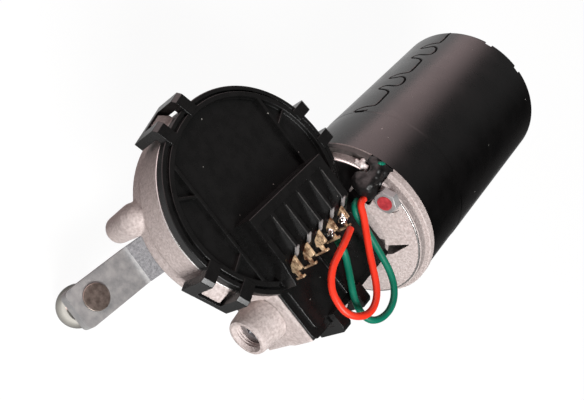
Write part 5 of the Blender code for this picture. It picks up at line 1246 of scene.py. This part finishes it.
def boot():
    """Black boot and tape where the wires pass over the flange into the motor."""
    item = lumps("boot", BOOT_SPOTS, voxel=0.0003, roughness=0.06, smoothing=14)
    for vert in item.data.vertices:
        fold = noise.noise(vert.co * FOLD_SCALE) * FOLD_HEIGHT
        crease = noise.noise(vert.co * CREASE_SCALE) * CREASE_HEIGHT
        vert.co += vert.normal * (fold + crease)
    return dressed(item, "wire_boot", LOOKS["rubber"], "gearbox", ("wire_grommet",),
                   smooth=80, flat=False)


def flash():
    """Ragged bright edge of the casting beside the boot."""
    item = lumps("flash", FLASH_SPOTS, voxel=0.00018, roughness=0.6, smoothing=2)
    return dressed(item, "casting_flash", LOOKS["torn"], "gearbox", smooth=60, flat=False)


def wire_end():
    """Green wire that shows through the boot on its way into the motor."""
    item = lumps("end", WIRE_END_SPOTS, voxel=0.0002, roughness=0.1, smoothing=4)
    return dressed(item, "green_end", LOOKS["green"], "gearbox", smooth=60, flat=False)


def solder(number, spots):
    """Solder on a terminal's blade."""
    item = lumps("solder", spots, voxel=0.00012, roughness=0.5, smoothing=2)
    return dressed(item, "solder_%d" % number, LOOKS["solder"], "gearbox", smooth=60, flat=False)


# Crank

def stud_place():
    """Place of the ball stud at the end of the crank."""
    return turn_z(CRANK_ANGLE) @ Matrix.Translation((ARM_LENGTH, 0, 0))


def crank():
    """Stepped zinc plated bar, bent down between its hub and its ball stud."""
    turn = turn_z(CRANK_ANGLE)
    half = ARM_WIDTH / 2
    top, low = ARM_TOP, ARM_TOP - ARM_THICKNESS
    end = ARM_LENGTH + ARM_TIP
    side = [(-HUB_BACK, top), (BEND_START, top, 0.004), (BEND_END, top - ARM_DROP, 0.005),
            (end, top - ARM_DROP), (end, low - ARM_DROP), (BEND_END - 0.001, low - ARM_DROP, 0.003),
            (BEND_START - 0.001, low, 0.003), (-HUB_BACK, low)]
    item = as_object("bar", slab(side, -half, half, 0, turn @ SIDEWAYS, 6))
    plan = arc((0, 0), HUB_RADIUS, 128, 232, 12)
    plan += [(0.002, -half, 0.004), (end, -half, 0.0024), (end, half, 0.0024), (0.002, half, 0.004)]
    combined(item, "INTERSECT", [slab(plan, -0.03, 0.01, 0, turn, 5)])
    holes = [rod(ARM_HOLE, -0.02, 0.01, HERE, 48), rod(ARM_HOLE, -0.02, 0.0, stud_place(), 48)]
    combined(item, "DIFFERENCE", holes)
    step = item.modifiers.new("edge", "BEVEL")
    step.width = ARM_EDGE
    step.segments = 2
    step.limit_method = "ANGLE"
    step.angle_limit = math.radians(40)
    applied(item)
    dressed(item, "crank_bar", LOOKS["zinc"], "crank", ("crank_arm",))
    item.data.materials.append(LOOKS["bent"])
    for face in item.data.polygons:
        if (turn.inverted() @ face.center).x < BEND_END - 0.0010:
            face.material_index = 1
    return item


def ball_pin():
    """Riveted stud with its collar, neck and polished ball."""
    top = ARM_TOP - ARM_DROP
    low = top - ARM_THICKNESS
    collar_low = low - COLLAR_HEIGHT
    neck_low = collar_low - NECK_HEIGHT
    centre = neck_low - math.sqrt(BALL_RADIUS ** 2 - STUD_NECK ** 2)
    ball_end = math.degrees(math.asin((neck_low - centre) / BALL_RADIUS))
    profile = [(0, centre - BALL_RADIUS)] + arc((0, centre), BALL_RADIUS, -90, ball_end, 28)[1:]
    profile += [(STUD_NECK, collar_low, 0.0005), (STUD_COLLAR, collar_low, 0.0004),
                (STUD_COLLAR, low - STUD_PLAY, 0.0004), (STUD_SHANK, low - STUD_PLAY),
                (STUD_SHANK, top + STUD_PLAY), (RIVET_RADIUS, top + STUD_PLAY),
                (RIVET_RADIUS, top + 0.0008, 0.0003), (0, top + 0.00085)]
    item = as_object("stud", turned(profile, stud_place(), 72))
    dressed(item, "ball_pin", LOOKS["bright"], "crank", ("ball_stud",))
    item.data.materials.append(LOOKS["rivet"])
    for face in item.data.polygons:
        if face.center.z > top - 0.001:
            face.material_index = 1
    return item


# Brush springs

def brush_springs():
    """Rounded copies of the brush springs, which in the motor shorten as their brushes slide back."""
    for joint in frame["joints"]:
        for row in joint.get("deforming_nodes", ()):
            node = row["node"]
            shape = bmesh.new()
            shape.from_mesh(frame["nodes"][node].data)
            bmesh.ops.remove_doubles(shape, verts=shape.verts, dist=WELD)
            item = as_object("spring", shape)
            item.modifiers.new("round", "SUBSURF").levels = 1
            applied(item)
            name = node.replace("brush_", "coil_")
            dressed(item, name, LOOKS["steel"], joint["parent"], (node,), flat=False)
            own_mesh(item)


# Carried-over pieces

CARRIED = {
    "gasket": ("cover_seal", "output_seal"),
    "brass": ("park_contact_1", "park_contact_2", "park_contact_3",
              "brush_box_1", "brush_box_2", "brush_box_3"),
    "copper": ("contact_disc", "commutator"),
    "winding": ("winding_front", "winding_rear"),
    "laminations": ("armature_core",),
    "ferrite": ("magnet_left", "magnet_right"),
    "carbon": ("brush_1", "brush_2", "brush_3"),
    "steel": ("output_shaft", "shaft_clip", "thrust_washer", "armature_shaft", "thrust_ball", "thrust_screw"),
    "bronze": ("output_bush", "front_bush", "rear_bush", "worm_end_bush"),
    "nylon": ("gear_wheel",),
    "board": ("brush_plate",),
    "zinc": ("lock_washer", "crank_nut"),
}


def dress_carried_nodes():
    """Give the nodes that have no new piece their finish."""
    for look, names in CARRIED.items():
        for name in names:
            mesh = frame["nodes"][name].data
            mesh.materials.clear()
            mesh.materials.append(LOOKS[look])


# Stage

def camera():
    """Camera that stands where the photograph was taken from."""
    data = bpy.data.cameras.new("camera")
    data.lens = CAMERA_LENS
    data.sensor_width = SENSOR_WIDTH
    data.clip_start = 0.01
    item = bpy.data.objects.new("camera", data)
    turn = Matrix((CAMERA_RIGHT, CAMERA_UP, CAMERA_BACK)).transposed().to_4x4()
    item.matrix_world = Matrix.Translation(CAMERA_PLACE) @ turn
    bpy.context.scene.collection.objects.link(item)
    bpy.context.scene.camera = item


def softbox(name, direction, size, power):
    """Soft lamp that looks at the object."""
    data = bpy.data.lights.new(name, "AREA")
    data.energy = power
    data.shape = "RECTANGLE"
    data.size, data.size_y = size
    item = bpy.data.objects.new(name, data)
    away = Vector(direction).normalized()
    item.location = Vector(LAMP_AIM) + away * LAMP_DISTANCE
    item.rotation_euler = away.to_track_quat("Z", "Y").to_euler()
    bpy.context.scene.collection.objects.link(item)


def floor():
    """Pale floor that shows white and keeps a faint shadow."""
    shape = bmesh.new()
    bmesh.ops.create_grid(shape, x_segments=1, y_segments=1, size=FLOOR_SIZE,
                          matrix=Matrix.Translation((0, 0, CAD_BOX[0].z - FLOOR_GAP)))
    item = as_object("floor", shape)
    look = bpy.data.materials.new("pale floor")
    look.use_nodes = True
    tree = look.node_tree
    tree.nodes.clear()
    out = add_node(tree, "ShaderNodeOutputMaterial")
    path = add_node(tree, "ShaderNodeLightPath")
    back = add_node(tree, "ShaderNodeNewGeometry")
    matt = add_node(tree, "ShaderNodeBsdfDiffuse")
    matt.inputs["Color"].default_value = (*FLOOR_MATT, 1)
    glow = add_node(tree, "ShaderNodeEmission")
    where = add_node(tree, "ShaderNodeTexCoord")
    parts = add_node(tree, "ShaderNodeSeparateXYZ")
    fade = add_node(tree, "ShaderNodeMapRange", interpolation_type="SMOOTHSTEP")
    fade.inputs["From Min"].default_value = FLOOR_LIT_X
    fade.inputs["From Max"].default_value = FLOOR_DARK_X
    fade.inputs["To Min"].default_value = FLOOR_MIRRORED
    fade.inputs["To Max"].default_value = FLOOR_DARK
    offset = add_node(tree, "ShaderNodeMath", operation="SUBTRACT")
    offset.inputs[1].default_value = FLOOR_BAND_Y
    either = add_node(tree, "ShaderNodeMath", operation="ABSOLUTE")
    band = add_node(tree, "ShaderNodeMapRange", interpolation_type="SMOOTHSTEP")
    band.inputs["From Min"].default_value = FLOOR_BAND_HALF
    band.inputs["From Max"].default_value = FLOOR_BAND_END
    band.inputs["To Min"].default_value = FLOOR_BAND
    mirrored = add_node(tree, "ShaderNodeMath", operation="MULTIPLY")
    level = add_node(tree, "ShaderNodeMix", data_type="FLOAT")
    level.inputs[3].default_value = FLOOR_GLOW
    clear = add_node(tree, "ShaderNodeBsdfTransparent")
    seen = add_node(tree, "ShaderNodeMath", operation="MAXIMUM")
    share = add_node(tree, "ShaderNodeMath", operation="MULTIPLY")
    share.inputs[1].default_value = FLOOR_SHARE
    lit = add_node(tree, "ShaderNodeMixShader")
    sided = add_node(tree, "ShaderNodeMixShader")
    tree.links.new(where.outputs["Object"], parts.inputs[0])
    tree.links.new(parts.outputs["X"], fade.inputs["Value"])
    tree.links.new(path.outputs["Is Camera Ray"], level.inputs[0])
    tree.links.new(parts.outputs["Y"], offset.inputs[0])
    tree.links.new(offset.outputs[0], either.inputs[0])
    tree.links.new(either.outputs[0], band.inputs["Value"])
    tree.links.new(fade.outputs["Result"], mirrored.inputs[0])
    tree.links.new(band.outputs["Result"], mirrored.inputs[1])
    tree.links.new(mirrored.outputs[0], level.inputs[2])
    tree.links.new(level.outputs[0], glow.inputs["Strength"])
    tree.links.new(path.outputs["Is Camera Ray"], seen.inputs[0])
    tree.links.new(path.outputs["Is Glossy Ray"], seen.inputs[1])
    tree.links.new(seen.outputs[0], share.inputs[0])
    tree.links.new(share.outputs[0], lit.inputs["Fac"])
    tree.links.new(matt.outputs[0], lit.inputs[1])
    tree.links.new(glow.outputs[0], lit.inputs[2])
    tree.links.new(back.outputs["Backfacing"], sided.inputs["Fac"])
    tree.links.new(lit.outputs[0], sided.inputs[1])
    tree.links.new(clear.outputs[0], sided.inputs[2])
    tree.links.new(sided.outputs[0], out.inputs["Surface"])
    item.data.materials.append(look)


def sky():
    """Mirrored light that fades from side to side, an even diffuse light, and white to the camera."""
    world = bpy.data.worlds.new("studio")
    bpy.context.scene.world = world
    world.use_nodes = True
    tree = world.node_tree
    where = add_node(tree, "ShaderNodeTexCoord")
    parts = add_node(tree, "ShaderNodeSeparateXYZ")
    across = add_node(tree, "ShaderNodeMapRange")
    ramp = add_node(tree, "ShaderNodeValToRGB")
    path = add_node(tree, "ShaderNodeLightPath")
    across.inputs["From Min"].default_value = 1
    across.inputs["From Max"].default_value = -1
    stops = ramp.color_ramp.elements
    while len(stops) < len(SKY_LEVELS):
        stops.new(0.5)
    for stop, (position, level) in zip(stops, SKY_LEVELS):
        stop.position = position
        warmth = SKY_WARMTH if level > 1 else 0
        stop.color = (level, level * (1 - warmth), level * (1 - warmth), 1)
    tree.links.new(where.outputs["Generated"], parts.inputs[0])
    tree.links.new(parts.outputs["X"], across.inputs["Value"])
    tree.links.new(across.outputs["Result"], ramp.inputs["Fac"])
    light = tinted(tree, path.outputs["Is Diffuse Ray"], ramp.outputs["Color"], SKY_DIFFUSE)
    light = tinted(tree, path.outputs["Is Camera Ray"], light, WHITE)
    tree.links.new(light, tree.nodes["Background"].inputs["Color"])


def stage():
    """Camera, floor, sky and lamps."""
    camera()
    floor()
    sky()
    softbox("key", KEY_DIRECTION, KEY_SIZE, KEY_POWER)
    softbox("side", SIDE_DIRECTION, SIDE_SIZE, SIDE_POWER)
    bpy.context.scene.view_settings.view_transform = "Standard"


stage()
lead("red_lead", RED_ROUTE, LOOKS["red"], "red_wire")
lead("green_lead", GREEN_ROUTE, LOOKS["green"], "green_wire")
can()
can_seam()
rear_cap()
casting()
rim_edge()
flange()
flange_ridge()
thrust_boss()
cover()
fin_fronts()
fin_edges()
for number in range(1, len(TERMINAL_YS) + 1):
    terminal(number)
for number, spots in SOLDER_SPOTS.items():
    solder(number, spots)
boot()
wire_end()
flash()
for number in range(1, len(BOLT_ANGLES) + 1):
    through_bolt(number)
crank()
ball_pin()
brush_springs()
dress_carried_nodes()
